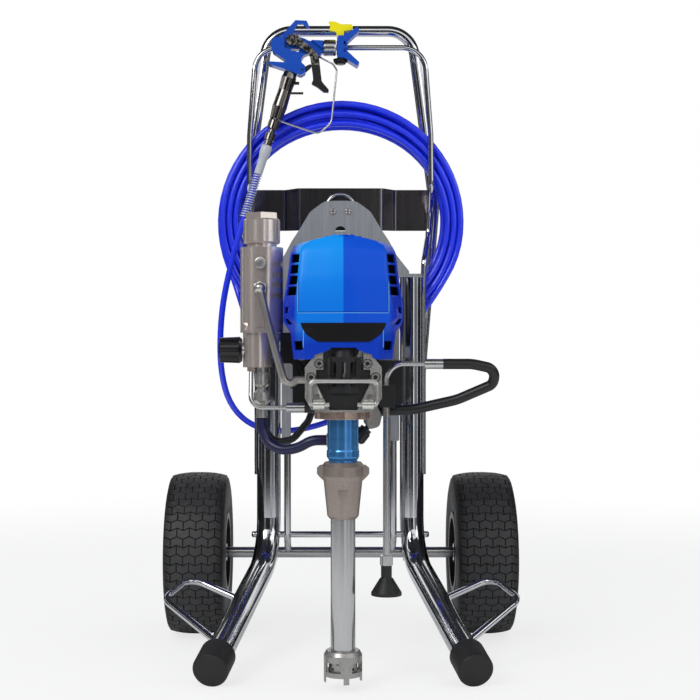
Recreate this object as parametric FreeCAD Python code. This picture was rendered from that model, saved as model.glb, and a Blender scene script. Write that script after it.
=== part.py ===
import FreeCAD, Part
import math
import os

# Airless paint sprayer on a two-wheel cart.
# X points to the right as seen from the front, Y points to the rear, Z points up.
# The floor is Z = 0 and the origin is under the middle of the machine. Millimetres.

V = FreeCAD.Vector
ORIGIN, X, Y, Z = V(0, 0, 0), V(1, 0, 0), V(0, 1, 0), V(0, 0, 1)
SIDES = (("left", -1), ("right", 1))

# Fits
running_gap = 0.05       # radial, shaft in bore
seat_gap = 0.3           # curved piece beside its carrier
hose_gap = 0.6           # between neighbouring turns of hose

# Wheels
tyre_radius = 140.0
tyre_width = 112.0
wheel_offset = 246.0     # middle of each wheel from the middle plane
rim_radius = 63.5
tyre_wall = 9.0
tread_depth = 5.0
tread_columns = 5
tread_rows = 22
spoke_count = 5
axle_d = 19.05
axle_y = 155.0
axle_z = tyre_radius

# Frame tubes
frame_tube_d = 41.3
frame_tube_wall = 2.1
frame_half_width = 123.5
frame_setback = 30.0     # the tubes stand this far in front of the axle
frame_top_z = 619.0
frame_bend_radius = 90.0
frame_y = axle_y - frame_setback
foot_x = 195.0           # middle of each cap's front face
foot_y = -240.0
cap_d = 54.0
cap_length = 50.0
cap_end = 8.0
cap_round = 5.0
cap_flat = 0.5           # worn flat under the cap
cross_rod_d = 11.0
cross_rod_z = 176.0
cross_rod_overhang = 9.0

# Foot loops, measured along the leg from its bend and out from its centre line
loop_rod_d = 11.0
loop_bend_radius = 26.0
loop_tilt = 16.0
loop_points = ((174.0, 0.0), (149.0, 100.0), (235.0, 119.0), (317.0, 0.0))

# Handle, hose and hose rack
handle_d = 19.6
handle_wall = 1.8
handle_top_z = 1063.0
handle_foot_z = 288.0
handle_knee_z = 440.0
handle_waist_z = 754.0
handle_foot_half = 142.7
handle_waist_half = 168.5
handle_top_half = 128.1
handle_corner_radius = 48.0
handle_bend_radius = 150.0
standoff_heights = (312.0, 478.0)
standoff_height = 26.0
standoff_thickness = 6.0
hose_d = 10.6
coil_layers = 4
coil_turns_per_layer = 2.915
coil_centre_z = 719.0
coil_outer_radius = 210.7    # to the middle of the hose
coil_fan = 0.7               # how much the turns spread at top and bottom
coil_start_deg = -38.0
rack_rod_d = 9.5
rack_bend_radius = 22.0
rack_corner_radius = 40.0
rack_top_z = 1020.0
rack_top_half = 146.0
rack_tuck_deg = 30.0
rack_foot_deg = 35.0
rack_reach = (frame_tube_d + rack_rod_d) / 2     # its feet lie on the frame tubes
rack_front_y = frame_y + rack_reach * math.sin(math.radians(rack_foot_deg))

# Mounting plate and what it carries
plate_thickness = 3.0
plate_front_y = 104.0
plate_apex_z = 750.0
# (half width, height, corner radius) of the plate's domed top, below its apex
plate_dome = ((27.0, 749.5, 24.0), (52.0, 731.0, 16.0), (70.0, 701.0, 30.0), (84.0, 680.0),
              (96.0, 657.0, 30.0), (118.0, 629.0, 4.0))
plate_body_half = 101.0
plate_body_bottom_z = 402.0
plate_leg_inner = 86.0
plate_leg_bottom_z = 338.0
screw_d = 6.0
screw_head_d = 11.0
apex_screw_half = 12.8
apex_screw_z = 732.0
lift_rod_d = 6.0
lift_half = 23.0
lift_top_z = 761.0
support_rod_d = 12.0
support_rod_x = 91.0
support_rod_top_z = 470.0
band_height = 73.0
band_middle_z = 743.0
band_thickness = 2.0
band_inner_half = 73.0
band_outer_half = 97.0

# Motor and gears
motor_z = 565.0
motor_d = 120.0
motor_wall = 4.0
motor_front_y = -150.0
motor_rear_y = 30.0
bell_depth = 34.0
rotor_d = 84.0
shaft_d = 12.0
fan_d = 98.0
fan_blades = 8
crank_z = 500.0
crank_throw = 16.0
gear_backlash = 0.3
pressure_angle = 25.0
addendum = 0.8
motor_module, motor_pinion_teeth, idler_teeth = 1.25, 14, 50
crank_module, idler_pinion_teeth, crank_teeth = 1.5, 14, 44
gear_width = 14.0
shelf_z = 500.0
shelf_half = 62.0
shelf_front_y = -110.0
arm_front_y = -196.0     # casting arm that carries the manifold
arm_depth = 26.0
arm_top_z = 520.0
box_left, box_right = -78.0, 98.0
box_front_y, box_bottom_z = -60.0, 404.0

# Housing, pump and guard
pump_y = -245.0
housing_front_y = -284.0
housing_rear_y = -215.0
housing_half = 55.0
housing_top_z = 545.0
housing_bottom_z = 405.0
housing_screws = ((34.5, 474.5), (46.0, 455.0), (-34.5, 474.5), (-46.0, 455.0))
housing_screw_d = 12.0
screw_seat = 6.0         # depth of their recesses
gearbox_wall = 6.0
cavity_half = 29.0
door_recess = 9.0        # depth of the seat for the pump guard
door_plate = 3.0
door_play = 0.4          # round the guard's edge
sleeve_d = 45.6
sleeve_bore = 30.0
sleeve_bottom_z = 331.0
sleeve_top_z = 424.0
nut_width = 82.0
nut_height = 11.0
rod_d = 16.0
piston_d = 29.8
rod_top_z = 480.0
stroke = 2 * crank_throw
intake_top_z = sleeve_bottom_z
intake_bottom_z = 249.0
intake_body_d = 57.0
intake_wing_span = 76.0
intake_foot_d = 40.0
intake_tube_d = 36.0
intake_tube_wall = 2.5
intake_tube_bottom_z = 50.0
strainer_d = 56.0
strainer_bottom_z = 12.0
strainer_top_z = 58.0
ball_d = 19.0
bail_d = 6.5
bail_half = 47.8
bail_top_z = 449.5
bail_pivot_z = 416.0
bail_ear_r = 6.5
bail_y = housing_front_y - bail_d / 2 - seat_gap

# Front cover
cover_wall = 3.0
cover_rear_y = -60.0
# (height, half width at the sides, half width of the front panel, front face Y, crease)
# The crease is how far the middle stands in front of the panel's edges.
cover_stations = (
    (480.0, 72.0, 52.0, -289.5, 4.0),
    (520.5, 76.7, 55.0, -292.0, 4.0),
    (533.8, 87.0, 60.0, -293.0, 5.0),
    (540.0, 87.4, 63.0, -295.0, 7.0),
    (559.5, 87.4, 64.0, -295.0, 8.0),
    (597.0, 81.5, 63.0, -291.5, 8.0),
    (635.9, 76.3, 60.0, -284.0, 8.0),
    (647.7, 66.0, 52.0, -279.0, 8.0),
    (653.5, 50.4, 40.0, -276.0, 7.0),
    (658.6, 24.0, 18.0, -273.0, 4.0),
    (660.2, 8.0, 6.0, -272.0, 1.5),
)
cover_cheek = 30.0       # the cheeks fall back this far
cover_notch = 18.5       # half width of the notch over the pump guard's neck
cover_notch_z = 497.5
vent_count = 4
vent_pitch = 15.8
vent_height = 12.8
vent_first_z = 572.5
vent_inner = 66.0        # the front windows start this far from the middle
# (inner X, outer X, low Z, high Z) of the smaller openings in each cheek
cheek_openings = ((57.0, 73.5, 494.0, 507.0), (79.5, 84.5, 530.5, 539.0), (79.5, 84.5, 547.0, 556.0))

# Filter manifold
manifold_x = -121.8
manifold_y = -175.0
manifold_half_x = 32.0
manifold_half_y = 28.0
manifold_bottom_z = 520.0
manifold_top_z = 648.0
manifold_round = 25.5    # its front corners
manifold_barrel_d = 44.5
manifold_barrel_bottom_z = 468.0
filter_bore = 36.0
filter_floor_z = 536.0
filter_cap_d = 55.5
filter_cap_height = 37.0
filter_hex = 46.0
filter_hex_height = 9.5
filter_neck = 6.0
bosses = ((622.7, 19.0), (585.6, 21.6))      # height and size over the flats
rib_left, rib_right = -130.4, -116.8
boss_x = -122.5
knob_d = 40.0
knob_length = 34.5
knob_z = 494.0
knob_shaft_d = 8.0

# Fluid lines
crossover_d = 11.5
steel_line_d = 7.0
ferrule_d = 15.0
ferrule_length = 27.0
drain_hose_d = 15.5
navy_hose_d = 15.5
lead_d = 11.0
drain_tube_d = 10.0
drain_x = 64.0
drain_y = -228.0
drain_tube_bottom_z = 176.0
deflector_d = 45.0
deflector_top_z = 160.0
deflector_bottom_z = 134.0
deflector_ribs = 12

# Spray gun
gun_hang = 18.569        # the gun hangs this far in front of the hose rack's hoop
gun_y = rack_front_y - gun_hang
gun_thickness = 26.0


def mirrored(shape):
    return shape.mirror(ORIGIN, X)


def on_side(shape, side):
    """A piece drawn on the right, or its mirror image for the left."""
    return shape if side > 0 else mirrored(shape)


def placed(shape, base, axis=Z):
    """A copy of a piece drawn along Z from the origin, moved to its base and axis."""
    copy = shape.copy()
    copy.Placement = FreeCAD.Placement(base, FreeCAD.Rotation(Z, axis))
    return copy


def in_xz(y):
    return lambda a, b: V(a, y, b)


def in_xy(z):
    return lambda a, b: V(a, b, z)


def in_yz(x):
    return lambda a, b: V(x, a, b)


def corner_arc(before, corner, after, radius):
    """Start, middle and end of the arc of this radius that rounds a corner."""
    back = (before - corner).normalize()
    ahead = (after - corner).normalize()
    turn = math.pi - back.getAngle(ahead)
    if radius <= 0 or turn < 1e-4:
        return corner, corner, corner
    trim = radius * math.tan(turn / 2)
    inward = (back + ahead).normalize()
    middle = corner + inward * (radius / math.cos(turn / 2) - radius)
    return corner + back * trim, middle, corner + ahead * trim


def joined(arcs, closed):
    """A wire of the corner arcs and the straight runs between them."""
    edges = []
    count = len(arcs)
    for index, (start, middle, end) in enumerate(arcs):
        if (end - start).Length > 1e-6:
            edges.append(Part.Arc(start, middle, end).toShape())
        if index == count - 1 and not closed:
            break
        following = arcs[(index + 1) % count][0]
        if (following - end).Length > 1e-6:
            edges.append(Part.LineSegment(end, following).toShape())
    return Part.Wire(edges)


def outline(points, place):
    """A closed flat wire; a third number on a point rounds that corner."""
    corners = [place(point[0], point[1]) for point in points]
    radii = [point[2] if len(point) > 2 else 0 for point in points]
    count = len(corners)
    arcs = [corner_arc(corners[i - 1], corners[i], corners[(i + 1) % count], radii[i])
            for i in range(count)]
    return joined(arcs, closed=True)


def slab(points, place, travel):
    return Part.Face(outline(points, place)).extrude(travel)


def turned(points, base=ORIGIN, axis=Z):
    """A turned piece from a closed outline of (radius, height) points."""
    face = Part.Face(outline(points, lambda radius, height: V(radius, 0, height)))
    return placed(face.revolve(ORIGIN, Z, 360), base, axis)


def rod(radius, start, end):
    return Part.makeCylinder(radius, (end - start).Length, start, (end - start).normalize())


def sleeve(outer, inner, start, end):
    """A tube with square ends."""
    return rod(outer, start, end).cut(rod(inner, start, end))


def block(x0, x1, y0, y1, z0, z1):
    return Part.makeBox(x1 - x0, y1 - y0, z1 - z0, V(x0, y0, z0))


def polygon_prism(sides, across_flats, base, axis, height):
    radius = across_flats / 2 / math.cos(math.pi / sides)
    points = [(radius * math.cos(2 * math.pi * (i + 0.5) / sides),
               radius * math.sin(2 * math.pi * (i + 0.5) / sides)) for i in range(sides)]
    return placed(slab(points, in_xy(0), Z * height), base, axis)


def bent_path(points, radius):
    """An open path of straight runs and arcs; radius is one number or one per corner."""
    inner = range(1, len(points) - 1)
    radii = radius if isinstance(radius, (list, tuple)) else [radius] * len(inner)
    arcs = [(points[0],) * 3]
    arcs += [corner_arc(points[i - 1], points[i], points[i + 1], radii[i - 1]) for i in inner]
    arcs.append((points[-1],) * 3)
    return joined(arcs, closed=False)


def easy_radii(points):
    """The arc at each corner of a cord: 0.45 of the shorter run over the tangent of half the turn."""
    radii = []
    for before, corner, after in zip(points, points[1:], points[2:]):
        turn = math.pi - (before - corner).getAngle(after - corner)
        shorter = min((before - corner).Length, (after - corner).Length)
        radii.append(0.45 * shorter / math.tan(turn / 2))
    return radii


def piped(path, radius, wall=0):
    """A round tube or rod along a path."""
    first = path.Edges[0]
    start = first.valueAt(first.FirstParameter)
    heading = first.tangentAt(first.FirstParameter)

    def along(section_radius):
        section = Part.Wire(Part.makeCircle(section_radius, start, heading))
        return path.makePipeShell([section], True, False)

    outer = along(radius)
    return outer.cut(along(radius - wall)) if wall else outer


def cord(name, points, diameter):
    """A cord's tube along its route, with its length, arcs and volume printed."""
    radii = easy_radii(points)
    path = bent_path(points, radii)
    tube = piped(path, diameter / 2)
    section = math.pi * diameter ** 2 / 4
    print("%s: length %.0f mm, radii %s, volume ratio %.3f"
          % (name, path.Length, [round(r) for r in radii], tube.Volume / section / path.Length))
    return tube


def leg_line():
    """The bend corner, the direction and the length of the right leg."""
    corner = V(frame_half_width, frame_y, axle_z)
    foot_z = cap_d / 2
    for _ in range(20):
        direction = (V(foot_x, foot_y, foot_z) - corner).normalize()
        level = math.hypot(direction.x, direction.y)
        foot_z = (cap_d / 2 - cap_round) * level + cap_round + direction.z * cap_round - cap_flat
    tip = V(foot_x, foot_y, foot_z)
    return corner, direction, (tip - corner).Length


def frame_path():
    corner, direction, length = leg_line()
    top = V(frame_half_width, frame_y, frame_top_z)
    return bent_path([top, corner, corner + direction * (length - cap_end)], frame_bend_radius)


def frame_solid():
    """The filled outer shape of the right frame tube."""
    return piped(frame_path(), frame_tube_d / 2)


def cross_rod_y():
    """Where the frame tube's centre line is at the cross rod's height."""
    corner, direction, _ = leg_line()
    half_turn = (math.pi - (Z).getAngle(direction)) / 2
    start_z = axle_z + frame_bend_radius * math.tan(half_turn)
    drop = max(start_z - cross_rod_z, 0)
    level = math.hypot(direction.x, direction.y)
    forward = frame_bend_radius - math.sqrt(frame_bend_radius ** 2 - drop ** 2)
    return frame_y + forward * direction.y / level


def frame_tube(side):
    tube = piped(frame_path(), frame_tube_d / 2, frame_tube_wall)
    y = cross_rod_y()
    reach = frame_half_width + frame_tube_d
    tube = tube.cut(rod(cross_rod_d / 2, V(0, y, cross_rod_z), V(reach, y, cross_rod_z)))
    return on_side(tube, side)


def leg_caps():
    corner, direction, length = leg_line()
    front = corner + direction * length
    radius = cap_d / 2
    cup = turned([(0, 0), (radius, 0, cap_round), (radius, cap_length, 1.5),
                  (frame_tube_d / 2, cap_length), (frame_tube_d / 2, cap_end), (0, cap_end)],
                 front, direction * -1)
    reach = foot_x + cap_length
    floor = block(-reach, reach, foot_y - cap_length, foot_y + 2 * cap_length, -cap_length, 0)
    cup = cup.cut(floor)
    return Part.makeCompound([mirrored(cup), cup])


def cross_rod():
    half = frame_half_width + frame_tube_d / 2 + cross_rod_overhang
    y = cross_rod_y()
    bar = rod(cross_rod_d / 2, V(-half, y, cross_rod_z), V(half, y, cross_rod_z))
    ends = [edge for edge in bar.Edges if abs(edge.Length - math.pi * cross_rod_d) < 0.01]
    return bar.makeFillet(cross_rod_d * 0.35, ends)


def foot_loops():
    corner, direction, _ = leg_line()
    flat = V(-direction.y, direction.x, 0).normalize()
    upward = direction.cross(flat)
    upward = upward if upward.z > 0 else upward * -1
    tilt = math.radians(loop_tilt)
    outward = flat * math.cos(tilt) + upward * math.sin(tilt)
    points = [corner + direction * along + outward * out for along, out in loop_points]
    loop = piped(bent_path(points, loop_bend_radius), loop_rod_d / 2)
    loop = loop.cut(frame_solid())
    loop = max(loop.Solids, key=lambda solid: solid.Volume)
    return Part.makeCompound([mirrored(loop), loop])


def axle():
    washer_t = 3.0
    cap_t = 5.0
    half = wheel_offset + tyre_width / 2 - cap_t
    bar = rod(axle_d / 2, V(-half, axle_y, axle_z), V(half, axle_y, axle_z))
    hub_end = wheel_offset + hub_half()
    pieces = [bar]
    for side in (-1, 1):
        near = V(side * (hub_end + 0.5), axle_y, axle_z)
        pieces.append(sleeve(axle_d * 0.8, axle_d / 2, near, near + X * side * washer_t))
        inner = V(side * (wheel_offset - hub_half() - 0.5), axle_y, axle_z)
        pieces.append(sleeve(axle_d * 0.8, axle_d / 2, inner, inner - X * side * washer_t))
        tip = near + X * side * (washer_t + 0.2)
        cap = turned([(axle_d / 2, 0), (axle_d * 0.72, 0), (axle_d * 0.72, cap_t - 2),
                      (axle_d / 2, cap_t)], tip, X * side)
        pieces.append(cap)
    return Part.makeCompound(pieces)


def hub_half():
    return tyre_width / 2 - 12.0


def axle_brackets():
    """A welded web from the back of each frame tube, with a collar that holds the axle."""
    collar_r = axle_d / 2 + 5.5
    web_half = 5.0
    collar_half = 13.0
    front = frame_y - frame_tube_d / 2
    rise = frame_bend_radius * 1.15
    web = slab([(axle_y + 8, axle_z - collar_r), (axle_y + collar_r, axle_z),
                (axle_y + collar_r, axle_z + 10, 8), (frame_y, axle_z + rise), (front, axle_z + rise),
                (front - 40, axle_z + 10), (axle_y - 25, axle_z - collar_r)],
               in_yz(frame_half_width - web_half), X * 2 * web_half)
    middle = V(frame_half_width, axle_y, axle_z)
    body = web.fuse(rod(collar_r, middle - X * collar_half, middle + X * collar_half))
    body = body.cut(frame_solid())
    body = body.cut(rod(axle_d / 2, middle - X * 30, middle + X * 30))
    body = max(body.Solids, key=lambda solid: solid.BoundBox.YMax)
    return [mirrored(body), body]


def tyre(side):
    half = tyre_width / 2
    crown = tyre_radius - tread_depth
    bead = rim_radius
    wall = tyre_wall
    shell = turned([
        (bead, -half + 10.5), (bead + 7, -half + 10.5), (bead + 22, -half, 9), (crown - 20, -half, 14),
        (crown - 3, -half + 10, 6), (crown, -half + 26), (crown, half - 26), (crown - 3, half - 10, 6),
        (crown - 20, half, 14), (bead + 22, half, 9), (bead + 7, half - 10.5), (bead, half - 10.5),
        (bead, half - 22), (bead + 20, half - wall, 6), (crown - wall, half - wall, 10),
        (crown - wall, -half + wall, 10), (bead + 20, -half + wall, 6), (bead, -half + 22)],
        ORIGIN, X)
    column_pitch = tyre_width / (tread_columns + 0.25)
    block_half = column_pitch * 0.42
    row_turn = 360.0 / tread_rows
    block_turn = row_turn * 0.7
    blocks = []
    for column in range(tread_columns):
        offset = (column - (tread_columns - 1) / 2) * column_pitch
        edge = abs(offset) / half
        top = tyre_radius - 4.0 * edge ** 3
        foot = crown - 3 - 6 * edge ** 3
        profile = outline([(offset - block_half, foot), (offset + block_half, foot),
                           (offset + block_half, top), (offset - block_half, top)],
                          lambda a, b: V(a, 0, b))
        lug = Part.Face(profile).revolve(ORIGIN, X, block_turn)
        for row in range(tread_rows):
            turn = row * row_turn + (row_turn / 2 if column % 2 else 0)
            blocks.append(lug.rotated(ORIGIN, X, turn))
    body = shell.fuse(blocks).removeSplitter()
    return body.translated(V(side * wheel_offset, axle_y, axle_z))


def rim(side):
    half = tyre_width / 2
    flange_r = rim_radius + 6.5
    thin = 4.0
    seat = half - 10.0
    barrel = turned([
        (rim_radius - thin, -seat - 4), (flange_r, -seat - 4), (flange_r, -seat), (rim_radius, -seat),
        (rim_radius, seat), (flange_r, seat), (flange_r, seat + 4), (rim_radius - thin, seat + 4)],
        ORIGIN, X)
    hub_r = 22.0
    disc = rod(rim_radius - thin / 2, V(-5, 0, 0), V(5, 0, 0))
    for index in range(spoke_count):
        gap = slab([(28, -10, 4), (rim_radius - 10, -19, 6), (rim_radius - 10, 19, 6), (28, 10, 4)],
                   in_yz(-10), X * 20)
        disc = disc.cut(gap.rotated(ORIGIN, X, 360.0 * index / spoke_count))
    hub = rod(hub_r, V(-hub_half(), 0, 0), V(hub_half(), 0, 0))
    body = barrel.fuse([disc, hub])
    body = body.cut(rod(axle_d / 2 + running_gap, V(-half, 0, 0), V(half, 0, 0)))
    return body.translated(V(side * wheel_offset, axle_y, axle_z))


def coil_pitch():
    return hose_d + hose_gap


def coil_front_y():
    """Middle of the coil's front layer, just behind the frame tubes."""
    return frame_y + frame_tube_d / 2 + seat_gap + hose_d / 2


def handle_y():
    rear = coil_front_y() + (coil_layers - 1) * coil_pitch() + hose_d / 2
    return rear + 1.2 + handle_d / 2


def handle_half(z):
    """Half width of the handle at a height, up to its waist."""
    share = (z - handle_knee_z) / (handle_waist_z - handle_knee_z)
    return handle_foot_half + (handle_waist_half - handle_foot_half) * min(max(share, 0), 1)


def handle_path():
    y = handle_y()
    right = [V(handle_top_half, y, handle_top_z), V(handle_waist_half, y, handle_waist_z),
             V(handle_foot_half, y, handle_knee_z), V(handle_foot_half, y, handle_foot_z)]
    left = [V(-point.x, point.y, point.z) for point in reversed(right)]
    bends = [2 * handle_bend_radius, handle_bend_radius, handle_corner_radius]
    return bent_path(left + right, bends + bends[::-1])


def handle():
    return piped(handle_path(), handle_d / 2, handle_wall)


def handle_standoffs():
    """Welded straps that hold the handle behind the frame tubes."""
    foot = rod(handle_d / 2, V(handle_foot_half, handle_y(), handle_foot_z),
               V(handle_foot_half, handle_y(), handle_knee_z + 60))
    behind = [frame_solid(), foot, piped(handle_path(), handle_d / 2)]
    pieces = []
    for z in standoff_heights:
        start = V(frame_half_width, frame_y, z)
        end = V(handle_half(z), handle_y(), z)
        across = Z.cross((end - start).normalize()) * (standoff_thickness / 2)
        corners = [start + across, end + across, end - across, start - across]
        strap = Part.Face(Part.makePolygon(corners + corners[:1])).extrude(Z * standoff_height)
        for tube in behind:
            strap = strap.cut(tube)
        pieces += [mirrored(strap), strap]
    return pieces


def frame_brackets():
    """Axle brackets and handle straps, welded to the frame tubes."""
    return Part.makeCompound(axle_brackets() + handle_standoffs())


def hose_rack():
    """One bent rod: a hoop before the coil, tucked back to the handle, then down the frame tubes."""
    front = rack_front_y
    back = handle_y() - (handle_d + rack_rod_d) / 2 * math.cos(math.radians(rack_tuck_deg))
    inboard = (handle_d + rack_rod_d) / 2 * math.sin(math.radians(rack_tuck_deg))
    foot_half = rack_foot_half()
    tuck_top, tuck_low = coil_centre_z + 19, coil_centre_z - 19
    right = [V(rack_top_half, front, rack_top_z),
             V(157.5, front, coil_centre_z + 149),
             V(158.5, front, coil_centre_z + 59),
             V(handle_half(tuck_top) - inboard, back, tuck_top),
             V(handle_half(tuck_low) - inboard, back, tuck_low),
             V(foot_half + 1.5, front, coil_centre_z - 69),
             V(foot_half, front, coil_centre_z - 119),
             V(foot_half, front, handle_foot_z - 10)]
    left = [V(-point.x, point.y, point.z) for point in reversed(right)]
    bends = [rack_corner_radius * 2, rack_bend_radius, rack_bend_radius, rack_bend_radius,
             rack_bend_radius, 2 * rack_corner_radius, rack_corner_radius]
    return piped(bent_path(left + right, bends + bends[::-1]), rack_rod_d / 2)


def rack_foot_half():
    return frame_half_width + rack_reach * math.cos(math.radians(rack_foot_deg))


def mounting_plate():
    """Apex plate with tabs on the frame tubes, two down legs and a shelf under the motor."""
    y = plate_front_y
    t = plate_thickness
    half = [(0, plate_apex_z), *plate_dome,
            (plate_dome[-1][0], frame_top_z), (plate_body_half, frame_top_z),
            (plate_body_half, plate_leg_bottom_z, 3), (plate_leg_inner, plate_leg_bottom_z, 3),
            (plate_leg_inner, plate_body_bottom_z)]
    points = half + [(-x, *rest) for x, *rest in reversed(half[1:])]
    plate = slab(points, in_xz(y), Y * t)
    tab_rear = frame_y + frame_tube_d / 2
    for side in (-1, 1):
        x0, x1 = sorted((side * plate_body_half, side * (frame_half_width + 16)))
        plate = plate.fuse(block(x0, x1, y, tab_rear, frame_top_z, frame_top_z + 2 * t))
    shelf = block(-shelf_half, shelf_half, shelf_front_y, y, shelf_z - t, shelf_z)
    gusset = block(-shelf_half, -shelf_half + t, shelf_front_y, y, shelf_z - 20, shelf_z)
    plate = plate.fuse([shelf, gusset, mirrored(gusset)])
    slot = rod(9.5, V(0, y - 1, 697), V(0, y + t + 1, 697))
    slot = slot.cut(block(-10, 10, y - 2, y + t + 2, 680, 698))
    plate = plate.cut(slot)
    for side in (-1, 1):
        at = V(side * apex_screw_half, y - 1, apex_screw_z)
        plate = plate.cut(rod(screw_d / 2 + 0.4, at, at + Y * (t + 2)))
    return plate.removeSplitter()


def band_front_y():
    """The lift ring's rod stands between the plate and the band."""
    return plate_front_y + plate_thickness + lift_rod_d + seat_gap


def band_bracket():
    """A bent sheet: flat in the middle behind the plate, stepped back to the handle."""
    near = band_front_y()
    far = handle_y() - 4.0
    t = band_thickness
    low = band_middle_z - band_height / 2
    reach = handle_waist_half
    r = 5.0
    front = [(-reach, far), (-band_outer_half, far, r), (-band_inner_half, near, r + t),
             (band_inner_half, near, r + t), (band_outer_half, far, r), (reach, far)]
    back = [(reach, far + t), (band_outer_half - 2, far + t, r + t), (band_inner_half - 2, near + t, r),
            (-band_inner_half + 2, near + t, r), (-band_outer_half + 2, far + t, r + t), (-reach, far + t)]
    band = slab(front + back, in_xy(low), Z * band_height)
    band = band.cut(piped(handle_path(), handle_d / 2))
    band = max(band.Solids, key=lambda solid: solid.Volume)
    for side in (-1, 1):
        at = V(side * apex_screw_half, near - 1, apex_screw_z)
        band = band.cut(rod(screw_d / 2 + 0.4, at, at + Y * (t + 2)))
    return band


def lift_ring():
    """A bent rod between the plate and the band, standing above the plate's apex."""
    y = plate_front_y + plate_thickness + seat_gap / 2 + lift_rod_d / 2
    low = plate_apex_z - 42
    points = [V(-lift_half, y, low), V(-lift_half, y, lift_top_z), V(lift_half, y, lift_top_z),
              V(lift_half, y, low)]
    return piped(bent_path(points, lift_half * 0.9), lift_rod_d / 2)


def support_rod():
    """A rod from the plate's leg down to the axle."""
    y = plate_front_y + plate_thickness + support_rod_d / 2
    points = [V(support_rod_x, y, support_rod_top_z), V(support_rod_x, y, axle_z + 28),
              V(support_rod_x, axle_y - 2, axle_z + 4)]
    bar = piped(bent_path(points, 20), support_rod_d / 2)
    bar = bar.cut(rod(axle_d / 2, V(0, axle_y, axle_z), V(wheel_offset, axle_y, axle_z)))
    return max(bar.Solids, key=lambda solid: solid.Volume)


def frame_rods():
    """The cross rod between the frame tubes and the two support rods."""
    upright = support_rod()
    uprights = [mirrored(upright), upright]
    bar = cross_rod()
    for piece in uprights:
        bar = bar.cut(piece)
    return Part.makeCompound(bar.Solids + uprights)


def motor_can():
    middle = V(0, motor_front_y, motor_z)
    can = sleeve(motor_d / 2, motor_d / 2 - motor_wall, middle, V(0, motor_rear_y, motor_z))
    solid = rod(motor_d / 2, middle, V(0, motor_rear_y, motor_z))
    feet = []
    for y in (shelf_front_y + 12, -30.0):
        foot = slab([(-38, shelf_z), (38, shelf_z), (46, shelf_z + 34), (-46, shelf_z + 34)],
                    in_xz(y), Y * 16)
        feet.append(foot.cut(solid))
    lower = [foot.Solids[0] for foot in feet]
    return Part.makeCompound([can, end_bell()] + lower)


def end_bell():
    """Rear bell with its bearing seat and air slots."""
    r = motor_d / 2
    y0 = motor_rear_y
    bell = turned([(shaft_d / 2 + running_gap, bell_depth - 8), (shaft_d / 2 + running_gap, bell_depth),
                   (r - 8, bell_depth, 6), (r, bell_depth - 12, 4), (r, 0), (r - motor_wall, 0),
                   (r - motor_wall, bell_depth - 12), (r - 12, bell_depth - 8)],
                  V(0, y0, motor_z), Y)
    for index in range(10):
        gap = slab([(20, -4), (44, -6), (44, 6), (20, 4)], in_xz(y0), Y * (bell_depth + 2))
        gap = gap.rotated(ORIGIN, Y, 36 * index).translated(Z * motor_z)
        bell = bell.cut(gap)
    return bell


def idler_place():
    """Axis of the reduction gear, in mesh with both its partners."""
    first = motor_module * (motor_pinion_teeth + idler_teeth) / 2
    second = crank_module * (idler_pinion_teeth + crank_teeth) / 2
    span = motor_z - crank_z
    rise = (second ** 2 - first ** 2 + span ** 2) / (2 * span)
    return math.sqrt(second ** 2 - rise ** 2), crank_z + rise


def gear(module, teeth, width, bore, x, z, y, tooth_towards):
    """A spur gear about Y with involute flanks, one tooth pointing at the given angle in XZ."""
    pitch_r = module * teeth / 2
    base_r = pitch_r * math.cos(math.radians(pressure_angle))
    tip_r = pitch_r + module * addendum
    root_r = pitch_r - module * (addendum + 0.25)

    def involute(radius):
        if radius <= base_r:
            return 0.0
        slope = math.acos(base_r / radius)
        return math.tan(slope) - slope

    half_tooth = math.pi / 2 / teeth - gear_backlash / 2 / pitch_r + involute(pitch_r)
    flank = [root_r] + [max(base_r, root_r) + (tip_r - max(base_r, root_r)) * share
                        for share in (0.05, 0.4, 0.75, 1.0)]
    points = []
    for index in range(teeth):
        middle = tooth_towards + 2 * math.pi * index / teeth
        rising = [(radius, middle - half_tooth + involute(radius)) for radius in flank]
        falling = [(radius, 2 * middle - angle) for radius, angle in reversed(rising)]
        points += [(x + radius * math.cos(angle), z + radius * math.sin(angle))
                   for radius, angle in rising + falling]
    wheel = slab(points, in_xz(y), Y * width)
    return wheel.cut(rod(bore / 2, V(x, y - 1, z), V(x, y + width + 1, z))) if bore else wheel


stage_one_y = -172.0     # motor pinion and large idler gear
stage_two_y = -192.0     # idler pinion and crank gear
bearing_y = -212.0


def armature():
    """Motor shaft with rotor, commutator, fan and pinion."""
    x, z = idler_place()
    towards = math.atan2(z - motor_z, x)
    body = rod(shaft_d / 2, V(0, stage_one_y - 4, motor_z), V(0, motor_rear_y + bell_depth + 3, motor_z))
    pinion = gear(motor_module, motor_pinion_teeth, gear_width + 2, 0, 0, motor_z, stage_one_y - 1, towards)
    rotor = rod(rotor_d / 2, V(0, motor_front_y + 28, motor_z), V(0, motor_front_y + 118, motor_z))
    commutator = rod(16, V(0, motor_front_y + 118, motor_z), V(0, motor_front_y + 146, motor_z))
    fan_y = motor_rear_y + 2
    hub = rod(15, V(0, fan_y, motor_z), V(0, fan_y + 18, motor_z))
    disc = rod(fan_d / 2 - 4, V(0, fan_y, motor_z), V(0, fan_y + 2, motor_z))
    blades = []
    for index in range(fan_blades):
        blade = block(12, fan_d / 2 - 2, -1, 1, 0, 16)
        blade = blade.rotated(ORIGIN, Z, 360.0 * index / fan_blades)
        blades.append(placed(blade, V(0, fan_y, motor_z), Y))
    return body.fuse([pinion, rotor, commutator, hub, disc] + blades)


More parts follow.
